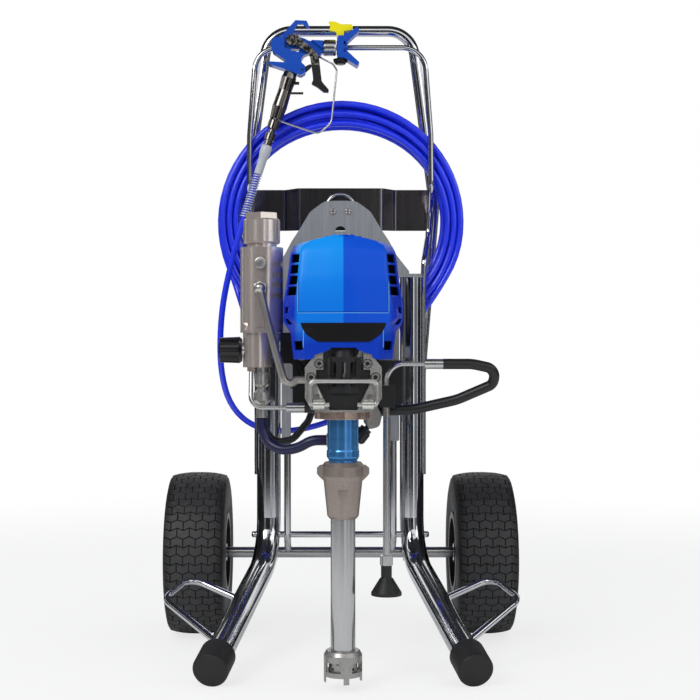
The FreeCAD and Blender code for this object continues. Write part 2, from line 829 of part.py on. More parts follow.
def idler_gear():
    x, z = idler_place()
    to_motor = math.atan2(motor_z - z, -x)
    to_crank = math.atan2(crank_z - z, -x)
    large = gear(motor_module, idler_teeth, gear_width, 0, x, z, stage_one_y,
                 to_motor + math.pi / idler_teeth)
    small = gear(crank_module, idler_pinion_teeth, gear_width + 5, 0, x, z, stage_two_y, to_crank)
    shaft = rod(5, V(x, bearing_y + 6, z), V(x, stage_one_y + gear_width + 5, z))
    return large.fuse([small, shaft])


def crank_gear():
    """Output gear with its journal and the eccentric pin, pin at the top."""
    x, z = idler_place()
    towards = math.atan2(z - crank_z, x)
    wheel = gear(crank_module, crank_teeth, gear_width, 0, 0, crank_z, stage_two_y,
                 towards + math.pi / crank_teeth)
    journal = rod(15, V(0, housing_rear_y - 14, crank_z), V(0, stage_two_y + 1, crank_z))
    web = rod(25, V(0, housing_rear_y - 14, crank_z), V(0, housing_rear_y - 8, crank_z))
    stub = rod(8, V(0, stage_two_y, crank_z), V(0, stage_one_y - 2, crank_z))
    pin_z = crank_z + crank_throw
    pin = rod(7, V(0, con_rod_rear() + 0.4, pin_z), V(0, housing_rear_y - 13, pin_z))
    return wheel.fuse([journal, web, stub, pin])


def con_rod_rear():
    return pump_y + 8.0


def con_rod():
    """Forged rod with its bearing eye above and a socket on the pump rod's head."""
    pin_z = crank_z + crank_throw
    rear, front = con_rod_rear(), pump_y - 8.0
    low = rod_top_z - 20
    eye = rod(14, V(0, front, pin_z), V(0, rear, pin_z))
    shank = slab([(-12, pin_z - 6), (-10, rod_top_z - 4), (10, rod_top_z - 4), (12, pin_z - 6)],
                 in_xz(front + 2), Y * (rear - front - 4))
    foot = rod(14, V(0, pump_y, low), V(0, pump_y, rod_top_z + 3))
    body = eye.fuse([shank, foot])
    return body.cut(rod(rod_d / 2, V(0, pump_y, low - 1), V(0, pump_y, rod_top_z)))


def piston_rod():
    """Displacement rod with its piston valve, at the top of the stroke."""
    low = sleeve_bottom_z + stroke + 8
    body = rod(rod_d / 2, V(0, pump_y, low + 10), V(0, pump_y, rod_top_z))
    piston = turned([(0, 0), (piston_d / 2 - 3, 0), (piston_d / 2, 3), (piston_d / 2, 15), (10, 20),
                     (0, 20)],
                    V(0, pump_y, low), Z)
    return body.fuse(piston)


def gearbox():
    """Cast drive housing around the gears, with the arm that carries the manifold."""
    x, z = idler_place()
    wall = gearbox_wall
    front, rear = housing_rear_y, motor_front_y
    hollows = [(0, motor_z, 26), (x, z, 37), (0, crank_z, 39)]
    floor_y = rear - 6
    outer = [rod(radius + wall, V(cx, front, cz), V(cx, rear, cz)) for cx, cz, radius in hollows]
    body = outer[0].fuse(outer[1:] + [rod(motor_d / 2, V(0, rear - 8, motor_z), V(0, rear, motor_z))])
    for cx, cz, radius in hollows:
        body = body.cut(rod(radius, V(cx, front - 1, cz), V(cx, floor_y, cz)))
    body = body.cut(rod(shaft_d / 2 + running_gap, V(0, floor_y - 1, motor_z), V(0, rear + 1, motor_z)))
    bearing = rod(10, V(x, stage_one_y + gear_width + 1, z), V(x, rear - 1, z))
    pocket = rod(5 + running_gap, V(x, stage_one_y, z), V(x, rear - 2, z))
    arm = slab([(-36, 456), (-50, 452, 6), (-78, 474), (manifold_x + manifold_half_x - 3, 474),
                (manifold_x + manifold_half_x - 3, arm_top_z), (-36, arm_top_z)],
               in_xz(arm_front_y), Y * arm_depth)
    arm = arm.cut(slab([(-50, 466, 3), (-72, 484, 3), (-72, 492, 3), (-50, 478, 3)], in_xz(-200), Y * 40))
    arm = arm.cut(slab([(-50, 488, 3), (-76, 500, 3), (-76, 508, 3), (-50, 500, 3)], in_xz(-200), Y * 40))
    arm = arm.cut(rod(39 + wall - 2, V(0, front - 1, crank_z), V(0, rear, crank_z)))
    arm = max(arm.Solids, key=lambda solid: solid.Volume)
    arm = arm.cut(manifold_solid())
    return body.fuse([bearing, arm]).cut(pocket).removeSplitter()


def bearing_housing():
    """Octagonal front casting with the pump seat, crank bearing, guard seat and bail ears."""
    half = housing_half
    z0, z1 = housing_bottom_z, housing_top_z
    front, rear = housing_front_y, housing_rear_y
    edge = [(half - 22, z0), (half - 9, z0 + 4), (half, z0 + 20), (half, z0 + 64), (half - 12, z0 + 79),
            (half - 12, z1)]
    body = slab(edge + [(-x, z) for x, z in reversed(edge)], in_xz(front), Y * (rear - front))
    collar = rod(sleeve_d / 2 + 10, V(0, pump_y, z0), V(0, pump_y, z0 + 19))
    body = body.fuse(collar.common(block(-half, half, front, rear, z0, z1)))
    body = body.cut(block(-cavity_half, cavity_half, front - 1, rear - 6, z0 + 19, z1 - 6))
    body = body.cut(slab(guard_outline(0), in_xz(front - 1), Y * (door_recess + 1)))
    body = body.cut(rod(sleeve_d / 2, V(0, pump_y, z0 - 1), V(0, pump_y, z0 + 20)))
    for side in (-1, 1):
        scoop = slab([(side * 44, z0 + 24, 2), (side * 51, z0 + 32, 2), (side * 51, z0 + 44, 2),
                      (side * 45, z0 + 40, 2)], in_xz(front - 1), Y * 18)
        body = body.cut(scoop)
        pocket = slab([(side * 34.5, z0 + 27, 1), (side * 42, z0 + 25, 1), (side * 42, z0 + 19, 1),
                       (side * 33, z0 + 19, 1)], in_xz(front - 1), Y * 7)
        body = body.cut(pocket)
        ear = rod(bail_ear_r, V(side * 27, bail_y, bail_pivot_z), V(side * 43, bail_y, bail_pivot_z))
        foot = block(*sorted((side * 27, side * 43)), front - 4, front + 4, bail_pivot_z - bail_ear_r,
                     bail_pivot_z + bail_ear_r)
        body = body.fuse([ear, foot])
        body = body.cut(rod(bail_d / 2 + running_gap, V(side * 10, bail_y, bail_pivot_z),
                            V(side * 50, bail_y, bail_pivot_z)))
    for x, z in housing_screws:
        seat = V(x, front + screw_seat, z)
        body = body.cut(rod(housing_screw_d / 2 + seat_gap, seat - Y * 20, seat))
    x, z = idler_place()
    body = body.fuse(rod(11, V(x, rear - 6, z), V(x, bearing_y + 10, z)))
    body = body.cut(rod(5 + running_gap, V(x, rear - 2, z), V(x, bearing_y + 20, z)))
    body = body.cut(rod(15 + running_gap, V(0, rear - 20, crank_z), V(0, bearing_y + 12, crank_z)))
    return body.fuse(prime_lobe()).removeSplitter()


def guard_outline(inset):
    """The guard's seat in the housing; the guard itself is a little smaller."""
    z0 = housing_bottom_z
    edge = [(20 - inset, z0 + 3 + inset), (39 - inset, z0 + 42), (39 - inset, z0 + 61 - inset),
            (26 - inset, z0 + 61 - inset), (26 - inset, z0 + 79 - inset)]
    return edge + [(-x, z) for x, z in reversed(edge)]


def bail():
    """Pail hanger: a wire hoop whose ends turn in through the housing's ears."""
    points = [V(-20, bail_y, bail_pivot_z), V(-bail_half, bail_y, bail_pivot_z),
              V(-bail_half, bail_y, bail_top_z),
              V(bail_half, bail_y, bail_top_z), V(bail_half, bail_y, bail_pivot_z),
              V(20, bail_y, bail_pivot_z)]
    return piped(bent_path(points, [4.5, 8, 8, 4.5]), bail_d / 2)


def pump_door():
    """Black moulded guard over the pump rod: a flared plate, a slotted bulge and a neck."""
    front = housing_front_y + 0.1
    seat = housing_front_y + door_recess
    z0 = housing_bottom_z
    bulge_r, bulge_half = 44.0, 22.5
    neck_r = 18.0
    plate = slab(guard_outline(door_play), in_xz(seat - door_plate), Y * door_plate)
    bulge = rod(bulge_r, V(0, front + bulge_r, z0 + 27), V(0, front + bulge_r, z0 + 79))
    bulge = bulge.common(block(-bulge_half, bulge_half, front - 1, seat, z0, z0 + 90))
    neck = rod(neck_r, V(0, front + neck_r, z0 + 78), V(0, front + neck_r, z0 + 104))
    neck = neck.common(block(-neck_r, neck_r, front - 1, seat, z0, z0 + 110))
    ledge = block(-30, 30, seat - door_plate - 1.5, seat, z0 + 26, z0 + 29)
    solid = plate.fuse([bulge, neck, ledge])
    solid = solid.cut(block(-19, 19, front + 3, seat + 1, z0 + 51, z0 + 76))
    solid = solid.cut(block(-14, 14, front + 5, seat + 1, z0 + 75, z0 + 101))
    for x in (-13, 0, 13):
        slot = slab([(x - 3, z0 + 36, 2.9), (x + 3, z0 + 36, 2.9), (x + 3, z0 + 72, 2.9),
                     (x - 3, z0 + 72, 2.9)], in_xz(front - 2), Y * (door_recess + 4))
        solid = solid.cut(slot)
    return solid.removeSplitter()


def jam_nut():
    """Flat nut that locks the pump cylinder, with eight tabs for a hammer or wrench."""
    z = housing_bottom_z - nut_height
    axis = V(0, pump_y, z)
    nut = rod(nut_width / 2 - 4, axis, axis + Z * nut_height)
    for index in range(8):
        tab = slab([(nut_width / 2 - 12, -9), (nut_width / 2, -8, 1), (nut_width / 2, 8, 1),
                    (nut_width / 2 - 12, 9)], in_xy(0), Z * nut_height)
        nut = nut.fuse(tab.rotated(ORIGIN, Z, 45 * index + 13).translated(axis))
    return nut.cut(rod(sleeve_d / 2, axis - Z, axis + Z * (nut_height + 1))).removeSplitter()


def pump_sleeve():
    """Blue pump cylinder with its grooves and the outlet boss behind."""
    r = sleeve_d / 2
    height = sleeve_top_z - sleeve_bottom_z
    body = turned([(sleeve_bore / 2, 0), (r - 2, 0), (r - 2, 3), (r, 6), (r + 1, 8), (r + 1, 16), (r, 18),
                   (r, height), (rod_d / 2 + 6, height), (rod_d / 2 + 6, height - 14),
                   (sleeve_bore / 2, height - 14)],
                  V(0, pump_y, sleeve_bottom_z), Z)
    boss = rod(9, V(0, pump_y + sleeve_bore / 2 + 2, outlet_z()), V(0, pump_y + r + 6, outlet_z()))
    return body.fuse(boss)


def outlet_z():
    return sleeve_bottom_z + 29


def pump_packings():
    """Throat packing, ball seat and intake ball."""
    top = sleeve_top_z
    packing = sleeve(rod_d / 2 + 6, rod_d / 2 + running_gap, V(0, pump_y, top - 14), V(0, pump_y, top))
    seat_z = intake_bottom_z + 16
    seat = sleeve(14, 7.5, V(0, pump_y, seat_z), V(0, pump_y, seat_z + 6))
    lift = math.sqrt((ball_d / 2) ** 2 - 7.5 ** 2)
    ball = Part.makeSphere(ball_d / 2, V(0, pump_y, seat_z + 6 + lift + 0.05))
    return Part.makeCompound([packing, seat, ball])


def intake_nut():
    """Intake valve housing: two lugs above a tapered hexagonal body."""
    z0, z1 = intake_bottom_z, intake_top_z
    r = intake_body_d / 2
    body = turned([(0, z0), (intake_foot_d / 2, z0), (intake_foot_d / 2 + 3, z0 + 4), (r, z0 + 57),
                   (r + 3, z0 + 62),
                   (r + 3, z0 + 76), (r - 2, z1), (0, z1)], V(0, pump_y, 0), Z)
    lug = slab([(r - 6, z0 + 50), (intake_wing_span / 2 - 3, z0 + 62), (intake_wing_span / 2, z0 + 66),
                (intake_wing_span / 2, z0 + 73), (intake_wing_span / 2 - 5, z0 + 77), (r - 6, z0 + 77)],
               in_xz(pump_y - 12), Y * 24)
    body = body.fuse([lug, mirrored(lug)])
    body = body.cut(rod(sleeve_bore / 2, V(0, pump_y, z0 + 28), V(0, pump_y, z1 + 1)))
    body = body.cut(rod(14, V(0, pump_y, z0 + 16), V(0, pump_y, z0 + 29)))
    body = body.cut(rod(7.5, V(0, pump_y, z0 + 10), V(0, pump_y, z0 + 17)))
    body = body.cut(rod(intake_tube_d / 2, V(0, pump_y, z0 - 1), V(0, pump_y, z0 + 10)))
    recess = slab([(-9, z0 + 5), (9, z0 + 5), (13, z0 + 44, 4), (-13, z0 + 44, 4)],
                  in_xz(pump_y - r - 4), Y * 7)
    return body.cut(recess.translated(V(4, 0, 0)))


def intake_tube():
    r = intake_tube_d / 2
    bottom = V(0, pump_y, intake_tube_bottom_z)
    return sleeve(r, r - intake_tube_wall, bottom, V(0, pump_y, intake_bottom_z + 10))


def strainer():
    """Cage with four feet and a slotted screen, open below."""
    r = strainer_d / 2
    height = strainer_top_z - strainer_bottom_z
    foot = 9.0
    tube_r = intake_tube_d / 2
    body = turned([(tube_r, height), (r - 4, height, 3), (r, height - 7, 3), (r, foot), (r - 2.5, foot),
                   (r - 2.5, height - 10), (tube_r + 3, height - 10), (tube_r + 3, foot + 4),
                   (tube_r, foot + 4)],
                  V(0, pump_y, strainer_bottom_z), Z)
    for index in range(4):
        turn = 90 * index + 10
        gap = block(tube_r + 5, r + 2, -13, 13, foot + 7, height - 16)
        gap = gap.rotated(ORIGIN, Z, turn + 45).translated(V(0, pump_y, strainer_bottom_z))
        body = body.cut(gap)
        prong = block(r - 2.5, r - 0.3, -4, 4, 0, foot + 2)
        body = body.fuse(prong.rotated(ORIGIN, Z, turn).translated(V(0, pump_y, strainer_bottom_z)))
    for level in range(2):
        for index in range(8):
            z = strainer_bottom_z + 20 + 9 * level
            at = V(0, pump_y, z)
            ray = V(math.cos(math.pi * (index + level / 2) / 4),
                    math.sin(math.pi * (index + level / 2) / 4), 0)
            body = body.cut(rod(2.2, at + ray * (tube_r - 1), at + ray * (tube_r + 4)))
    grid = rod(tube_r + 1.5, V(0, pump_y, strainer_bottom_z + foot + 1),
               V(0, pump_y, strainer_bottom_z + foot + 4))
    for x in (-12, -6, 0, 6, 12):
        for y in (-12, -6, 0, 6, 12):
            if math.hypot(x, y) < tube_r - 3:
                at = V(x, pump_y + y, strainer_bottom_z)
                grid = grid.cut(rod(1.9, at, at + Z * (foot + 8)))
    return body.fuse(grid).removeSplitter()


def cover_section(station, inset):
    z, side_half, panel_half, front, crease = station
    side_half -= inset
    panel_half -= inset * 0.6
    front += inset
    rear = cover_rear_y + (20 if inset else 0)
    cheek = front + crease + cover_cheek
    edge = front + crease
    middle = (0, front)
    right = [(panel_half, edge), (side_half, cheek), (side_half, rear)]
    points = [middle] + right + [(-x, y) for x, y in reversed(right)]
    return Part.makePolygon([V(x, y, z) for x, y in points + points[:1]])


def front_cover():
    """Moulded shroud, open behind and below, with slotted cheeks and a notched lower edge."""
    outer = Part.makeLoft([cover_section(s, 0) for s in cover_stations], True, True)
    lower = (cover_stations[0][0] - 5,) + cover_stations[0][1:]
    lowered = [(s[0] - cover_wall,) + s[1:] for s in cover_stations[-3:]]
    inner = Part.makeLoft([cover_section(s, cover_wall)
                           for s in [lower, *cover_stations[:-3], *lowered]], True, True)
    shell = outer.cut(inner)
    reach = 100.0
    openings = []
    for index in range(vent_count):
        z = vent_first_z + vent_pitch * index
        openings.append(block(vent_inner, reach, -290, -253, z, z + vent_height))
        openings.append(block(vent_inner, reach, -236, -96, z, z + vent_height * 0.6))
    for x0, x1, z0, z1 in cheek_openings:
        openings.append(block(x0, x1, -300, -240, z0, z1))
    for opening in openings:
        shell = shell.cut(opening).cut(mirrored(opening))
    low = cover_stations[0][0] - 4
    front, rear = housing_front_y - seat_gap, housing_rear_y + 1
    half = housing_half - 12 + seat_gap
    shell = shell.cut(block(-half, half, front, rear, low, housing_top_z + seat_gap))
    shell = shell.cut(block(-half - 6, half + 6, front, rear, low, housing_bottom_z + 80))
    shell = shell.cut(block(-reach, -60, arm_front_y - 1, arm_front_y + arm_depth + 1, low, arm_top_z + 1))
    edge = [(half, low), (half - 2, 487.5), (cover_notch, 493), (cover_notch, cover_notch_z)]
    under = slab(edge + [(-x, z) for x, z in reversed(edge)], in_xz(-300), Y * 50)
    return shell.cut(under)


def control_box():
    """Moulded electronics box under the motor, with its power inlet and switch seat."""
    top = shelf_z - plate_thickness
    points = [(box_left, box_bottom_z, 8), (box_right, box_bottom_z, 8), (box_right, top - 20, 4),
              (shelf_half + 1, top - 20), (shelf_half - plate_thickness, top - 20),
              (shelf_half - plate_thickness, top), (-shelf_half + plate_thickness, top),
              (-shelf_half + plate_thickness, top - 20), (box_left, top - 20, 4)]
    body = slab(points, in_xz(box_front_y), Y * (plate_front_y - box_front_y))
    body = body.cut(switch_pocket())
    inlet = rod(13, V(box_right - 1, 40, 440), V(box_right + 3, 40, 440))
    socket = block(box_right - 14, box_right + 4, 33, 47, 433, 447)
    gland = sleeve(lead_d / 2 + 4, lead_d / 2, V(-40, box_front_y - 12, 418), V(-40, box_front_y, 418))
    return body.fuse(inlet).cut(socket).fuse(gland)


switch_y, switch_z = 10.0, 445.0


def switch_pocket():
    return block(box_left - 1, box_left + 12, switch_y - 10, switch_y + 10, switch_z - 16, switch_z + 16)


def power_switch():
    """Rocker switch, at rest in its off position."""
    x = box_left + 4
    rocker = slab([(-4, -14), (-9, -14), (-5, 0), (-4, 14), (3, 10), (5, 0), (3, -10)],
                  in_xz(switch_y - 9), Y * 18)
    rocker = rocker.translated(V(x, 0, switch_z))
    stub = rod(2, V(x, switch_y - 10, switch_z), V(x, switch_y + 10, switch_z))
    return rocker.fuse(stub.common(block(x - 5, x + 5, switch_y - 10 + running_gap,
                                         switch_y + 10 - running_gap,
                                         switch_z - 5, switch_z + 5)))


barrel_x = manifold_x - 5.8


def manifold_solid():
    """The filled outer shape of the filter manifold."""
    x0, x1 = manifold_x - manifold_half_x, manifold_x + manifold_half_x
    y0, y1 = manifold_y - manifold_half_y, manifold_y + manifold_half_y
    body = slab([(x0, y0, manifold_round), (x1, y0, manifold_round), (x1, y1, 12), (x0, y1, 12)],
                in_xy(manifold_bottom_z), Z * (manifold_top_z - manifold_bottom_z))
    barrel = rod(manifold_barrel_d / 2, V(barrel_x, manifold_y, manifold_barrel_bottom_z),
                 V(barrel_x, manifold_y, manifold_bottom_z + 1))
    neck = rod(filter_cap_d / 2 - 5, V(manifold_x, manifold_y, manifold_top_z - 1),
               V(manifold_x, manifold_y, manifold_top_z + filter_neck))
    return body.fuse([barrel, neck])


def manifold():
    body = manifold_solid()
    top = manifold_top_z + filter_neck + 1
    body = body.cut(rod(filter_bore / 2, V(manifold_x, manifold_y, filter_floor_z),
                        V(manifold_x, manifold_y, top)))
    front = manifold_y - manifold_half_y
    body = body.fuse(block(rib_left, rib_right, front - 1.2, front + 2, manifold_bottom_z + 8,
                           manifold_top_z - 8))
    (plug_z, plug_d), (port_z, port_flats) = bosses
    body = body.fuse(rod(plug_d / 2, V(boss_x, front + 2, plug_z), V(boss_x, front - 3, plug_z)))
    body = body.fuse(polygon_prism(6, port_flats, V(boss_x, front + 2, port_z), Y * -1, 8))
    corner = V(manifold_x - manifold_half_x + manifold_round, front + manifold_round, 529)
    outward = V(-1, -1, 0).normalize()
    body = body.fuse(polygon_prism(6, 10, corner + outward * (manifold_round - 3), outward, 7))
    lug = rod(10, V(barrel_x - 12, manifold_y, knob_z), V(knob_face_x(), manifold_y, knob_z))
    body = body.fuse(lug)
    hole = rod(knob_shaft_d / 2 + running_gap, V(knob_face_x() - 1, manifold_y, knob_z),
               V(knob_face_x() + 16, manifold_y, knob_z))
    body = body.cut(hole)
    body = body.fuse(drain_plug())
    port = rod(10, V(manifold_x, manifold_y + manifold_half_y - 2, tail_z),
               V(manifold_x, manifold_y + manifold_half_y + 14, tail_z))
    return body.fuse(port).removeSplitter()


drain_port_x = manifold_x - 15.7


def drain_plug():
    """Fitting under the manifold's barrel, where the drain line starts."""
    return polygon_prism(6, 12, V(drain_port_x, manifold_y, manifold_barrel_bottom_z + 1), Z * -1, 7)


def knob_face_x():
    return barrel_x - manifold_barrel_d / 2 - 1.0


tail_z = 556.0


def filter_cap():
    base = V(manifold_x, manifold_y, manifold_top_z + filter_neck)
    r = filter_cap_d / 2
    body = turned([(filter_bore / 2 - 2, 0), (r - 2, 0), (r, 2), (r, filter_cap_height - 2),
                   (r - 2, filter_cap_height), (0, filter_cap_height), (0, filter_cap_height - 8),
                   (filter_bore / 2 - 2, filter_cap_height - 8)], base, Z)
    return body.fuse(polygon_prism(6, filter_hex, base + Z * (filter_cap_height - 0.5), Z,
                                   filter_hex_height))


def filter_element():
    base = V(manifold_x, manifold_y, filter_floor_z)
    return turned([(8, 0), (14, 0), (14, 4), (13, 5), (13, 92), (14, 93), (14, 97), (8, 97)], base, Z)


def pressure_knob():
    """Fluted knob on its shaft, turning about X."""
    face = knob_face_x() - 0.4
    body = turned([(0, 0), (knob_d / 2 - 3, 0), (knob_d / 2, 4), (knob_d / 2 - 1, knob_length - 2),
                   (knob_d / 2 - 3, knob_length), (0, knob_length)], V(face, manifold_y, knob_z), X * -1)
    for index in range(12):
        turn = math.pi * index / 6
        at = V(face, manifold_y + knob_d / 2 * math.cos(turn), knob_z + knob_d / 2 * math.sin(turn))
        body = body.cut(rod(2.4, at - X * 5, at - X * (knob_length + 1)))
    shaft = rod(knob_shaft_d / 2, V(face - 1, manifold_y, knob_z), V(face + 14, manifold_y, knob_z))
    return body.fuse(shaft)


def crossover_tube():
    """Steel tube from the manifold's lower boss down to the bearing housing."""
    front = manifold_y - manifold_half_y - 6
    top_z = bosses[1][0]
    rear = housing_rear_y - 6.5
    points = [V(boss_x, front, top_z), V(boss_x, front - 17, top_z),
              V(boss_x + 12, front - 18, top_z - 50), V(-84, front - 18, 438),
              V(-68, rear, 450), V(-housing_half, rear, 450)]
    return piped(bent_path(points, [8, 22, 11, 8]), crossover_d / 2)


def hose_fittings():
    """Swivel under the manifold, elbow behind the pump and the tail's fitting."""
    x = manifold_x + 0.3
    low = manifold_barrel_bottom_z
    swivel = turned([(0, 0), (8.5, 0), (8.5, 8), (11, 10), (11, 26), (7, 30), (7, 34), (12.5, 38),
                     (12.5, 50),
                     (9, 56), (9, 76), (0, 76)], V(x, manifold_y, low), Z * -1)
    y = pump_y + sleeve_d / 2 + 6
    elbow = block(-9, 9, y, y + 20, outlet_z() - 10, outlet_z() + 10)
    elbow = elbow.fuse(rod(10, V(-8, y + 10, outlet_z()), V(-24, y + 10, outlet_z())))
    tail_y = manifold_y + manifold_half_y + 14
    nut = polygon_prism(6, 20, V(manifold_x, tail_y, tail_z), Y, 14)
    nut = nut.fuse(rod(hose_d / 2 + 2, V(manifold_x, tail_y + 13, tail_z),
                       V(manifold_x, tail_y + 34, tail_z)))
    return Part.makeCompound([swivel, elbow, nut])


def navy_hose():
    """Pump hose from the manifold's swivel round to the elbow behind the pump."""
    x = manifold_x + 0.3
    start = manifold_barrel_bottom_z - 76
    y = pump_y + sleeve_d / 2 + 16
    points = [V(x, manifold_y, start), V(x, manifold_y, start - 16), V(-112, -180, start - 38),
              V(-92, -190, start - 48), V(-68, -200, start - 45), V(-46, y, outlet_z()),
              V(-24, y, outlet_z())]
    return piped(bent_path(points, easy_radii(points)), navy_hose_d / 2)


def control_lead():
    """Black lead from the control box to the back of the manifold."""
    points = [V(-40, box_front_y - 12, 418), V(-40, box_front_y - 40, 416), V(-52, -124, 384),
              V(-76, -138, 356), V(-104, -140, 352), V(-122, -139, 376), V(-125, -138, 420),
              V(-125, -138, manifold_bottom_z)]
    return piped(bent_path(points, [14, 22, 22, 18, 18, 40]), lead_d / 2)


drain_rear_y = -191.0
drain_front_y = drain_y
drain_low_z = 407.5
drain_high_z = 473.5


def drain_tubes():
    """Steel ends of the drain line with their ferrules, and the tube down to the pail."""
    r = steel_line_d / 2
    x = drain_port_x
    z = manifold_barrel_bottom_z - 5
    low = V(-84, drain_rear_y, drain_low_z)
    left = [V(x, manifold_y, z), V(x, drain_rear_y, drain_low_z), low + X * 2]
    tube_a = piped(bent_path(left, 18), r).cut(drain_plug())
    tube_a = max(tube_a.Solids, key=lambda solid: solid.Volume)
    ferrule_a = sleeve(ferrule_d / 2, r, low, low + X * ferrule_length)
    tube_a = tube_a.fuse(ferrule_a)
    zt = drain_high_z
    right = [V(122, drain_front_y, zt), V(drain_x, drain_front_y, zt), V(drain_x, drain_front_y, 440)]
    tube_b = piped(bent_path(right, [26]), r)
    ferrule_b = sleeve(ferrule_d / 2, r, V(120, drain_front_y, zt),
                       V(120 + ferrule_length, drain_front_y, zt))
    tube_b = tube_b.fuse(ferrule_b)
    down = sleeve(drain_tube_d / 2, drain_tube_d / 2 - 1, V(drain_x, drain_front_y, 440),
                  V(drain_x, drain_front_y, drain_tube_bottom_z))
    collar = sleeve(9.5, drain_tube_d / 2, V(drain_x, drain_front_y, drain_tube_bottom_z + 2),
                    V(drain_x, drain_front_y, drain_tube_bottom_z + 16))
    return Part.makeCompound([tube_a, tube_b, down.fuse(collar)])


def drain_hose():
    """Black hose from the left ferrule behind the pump, out to the right and back."""
    a = V(-84 + ferrule_length, drain_rear_y, drain_low_z)
    b = V(120 + ferrule_length, drain_front_y, drain_high_z)
    points = [a, V(-30, drain_rear_y, drain_low_z), V(40, drain_rear_y, 402), V(105, drain_rear_y - 4, 405),
              V(170, drain_rear_y - 12, 420), V(222, drain_rear_y - 22, 443),
              V(226, drain_front_y + 6, 466),
              V(190, drain_front_y, drain_high_z), b]
    return piped(bent_path(points, [120, 150, 150, 90, 13, 17, 50]), drain_hose_d / 2)


def tube_clip():
    """Moulded block that holds the drain tube beside the bearing housing."""
    body = block(housing_half, drain_x + 13, drain_y - 11, drain_y + 13, 410, 442)
    body = body.fuse(block(housing_half, housing_half + 5, drain_y - 11, housing_rear_y, 414, 438))
    return body.cut(rod(drain_tube_d / 2, V(drain_x, drain_y, 400), V(drain_x, drain_y, 443)))


def drain_deflector():
    """Ribbed cone on the end of the drain tube, open below."""
    top = drain_tube_bottom_z + 2
    r = deflector_d / 2
    low = deflector_bottom_z
    body = turned([(drain_tube_d / 2, top), (8, top), (8, deflector_top_z), (r - 2, low + 7),
                   (r, low + 4), (r, low),
                   (r - 3, low), (r - 5, low + 5), (7, deflector_top_z - 3),
                   (drain_tube_d / 2, deflector_top_z)],
                  V(drain_x, drain_y, 0), Z)
    ribs = []
    for index in range(deflector_ribs):
        rib = slab([(8, deflector_top_z - 1), (9.5, deflector_top_z - 1), (r - 0.6, low + 5),
                    (r - 3, low + 5)],
                   in_xz(-1), Y * 2)
        ribs.append(rib.rotated(ORIGIN, Z,
                                360.0 * index / deflector_ribs).translated(V(drain_x, drain_y, 0)))
    return body.fuse(ribs)


def prime_lobe():
    """Lobe under the bearing housing that carries the prime valve."""
    z0 = housing_bottom_z
    body = slab([(30, z0 + 3), (50, z0 + 9), (57.5, z0 - 9, 4), (54, z0 - 24, 8), (40, z0 - 28, 6),
                 (31, z0 - 18)],
                in_xz(housing_rear_y - 9), Y * 18)
    body = body.cut(rod(nut_width / 2 + 1, V(0, pump_y, z0 - 40), V(0, pump_y, z0)))
    bore = prime_axis_start()
    return body.cut(rod(4 + running_gap, bore - prime_axis() * 2, bore + prime_axis() * 30))


def prime_axis():
    return V(-0.62, 0, -0.785).normalize()


def prime_axis_start():
    return V(50, housing_rear_y, housing_bottom_z - 8)


def prime_knob():
    """Ribbed black prime knob, turning about its own stem."""
    axis = prime_axis()
    face = prime_axis_start() + axis * 24
    body = turned([(0, 0), (9, 0), (9, 4), (11, 6), (11, 20), (8, 24), (0, 24)], face, axis)
    for index in range(8):
        turn = math.pi * index / 4
        groove = rod(1.8, V(11.5 * math.cos(turn), 11.5 * math.sin(turn), 5),
                     V(11.5 * math.cos(turn), 11.5 * math.sin(turn), 25))
        body = body.cut(placed(groove, face, axis))
    stem = rod(4, face - axis * 14, face + axis)
    return body.fuse(stem)


def cap_screws():
    """Socket screws of the bearing housing and the two plate screws."""
    screws = []
    for x, z in housing_screws:
        front = V(x, housing_front_y + 0.3, z)
        head = rod(housing_screw_d / 2, front, front + Y * (screw_seat - 0.3))
        socket = polygon_prism(6, 6, front - Y * 0.5, Y, 3.5)
        screws.append(head.cut(socket))
    for side in (-1, 1):
        front = V(side * apex_screw_half, plate_front_y, apex_screw_z)
        head = turned([(0, 0), (screw_head_d / 2, 0), (screw_head_d / 2 - 0.8, 3), (3, 4.2), (0, 4.2)],
                      front, Y * -1)
        grip = band_front_y() + band_thickness - plate_front_y
        shank = rod(screw_d / 2, front - Y * 0.5, front + Y * (grip + 3))
        nut = polygon_prism(6, 10, front + Y * grip, Y, 3)
        screws.append(head.fuse([shank, nut]))
    return Part.makeCompound(screws)


def gun_plate(points, thickness=gun_thickness, middle=gun_y):
    return slab(points, in_xz(middle - thickness / 2), Y * thickness)


gun_barrel_z = 1015.6


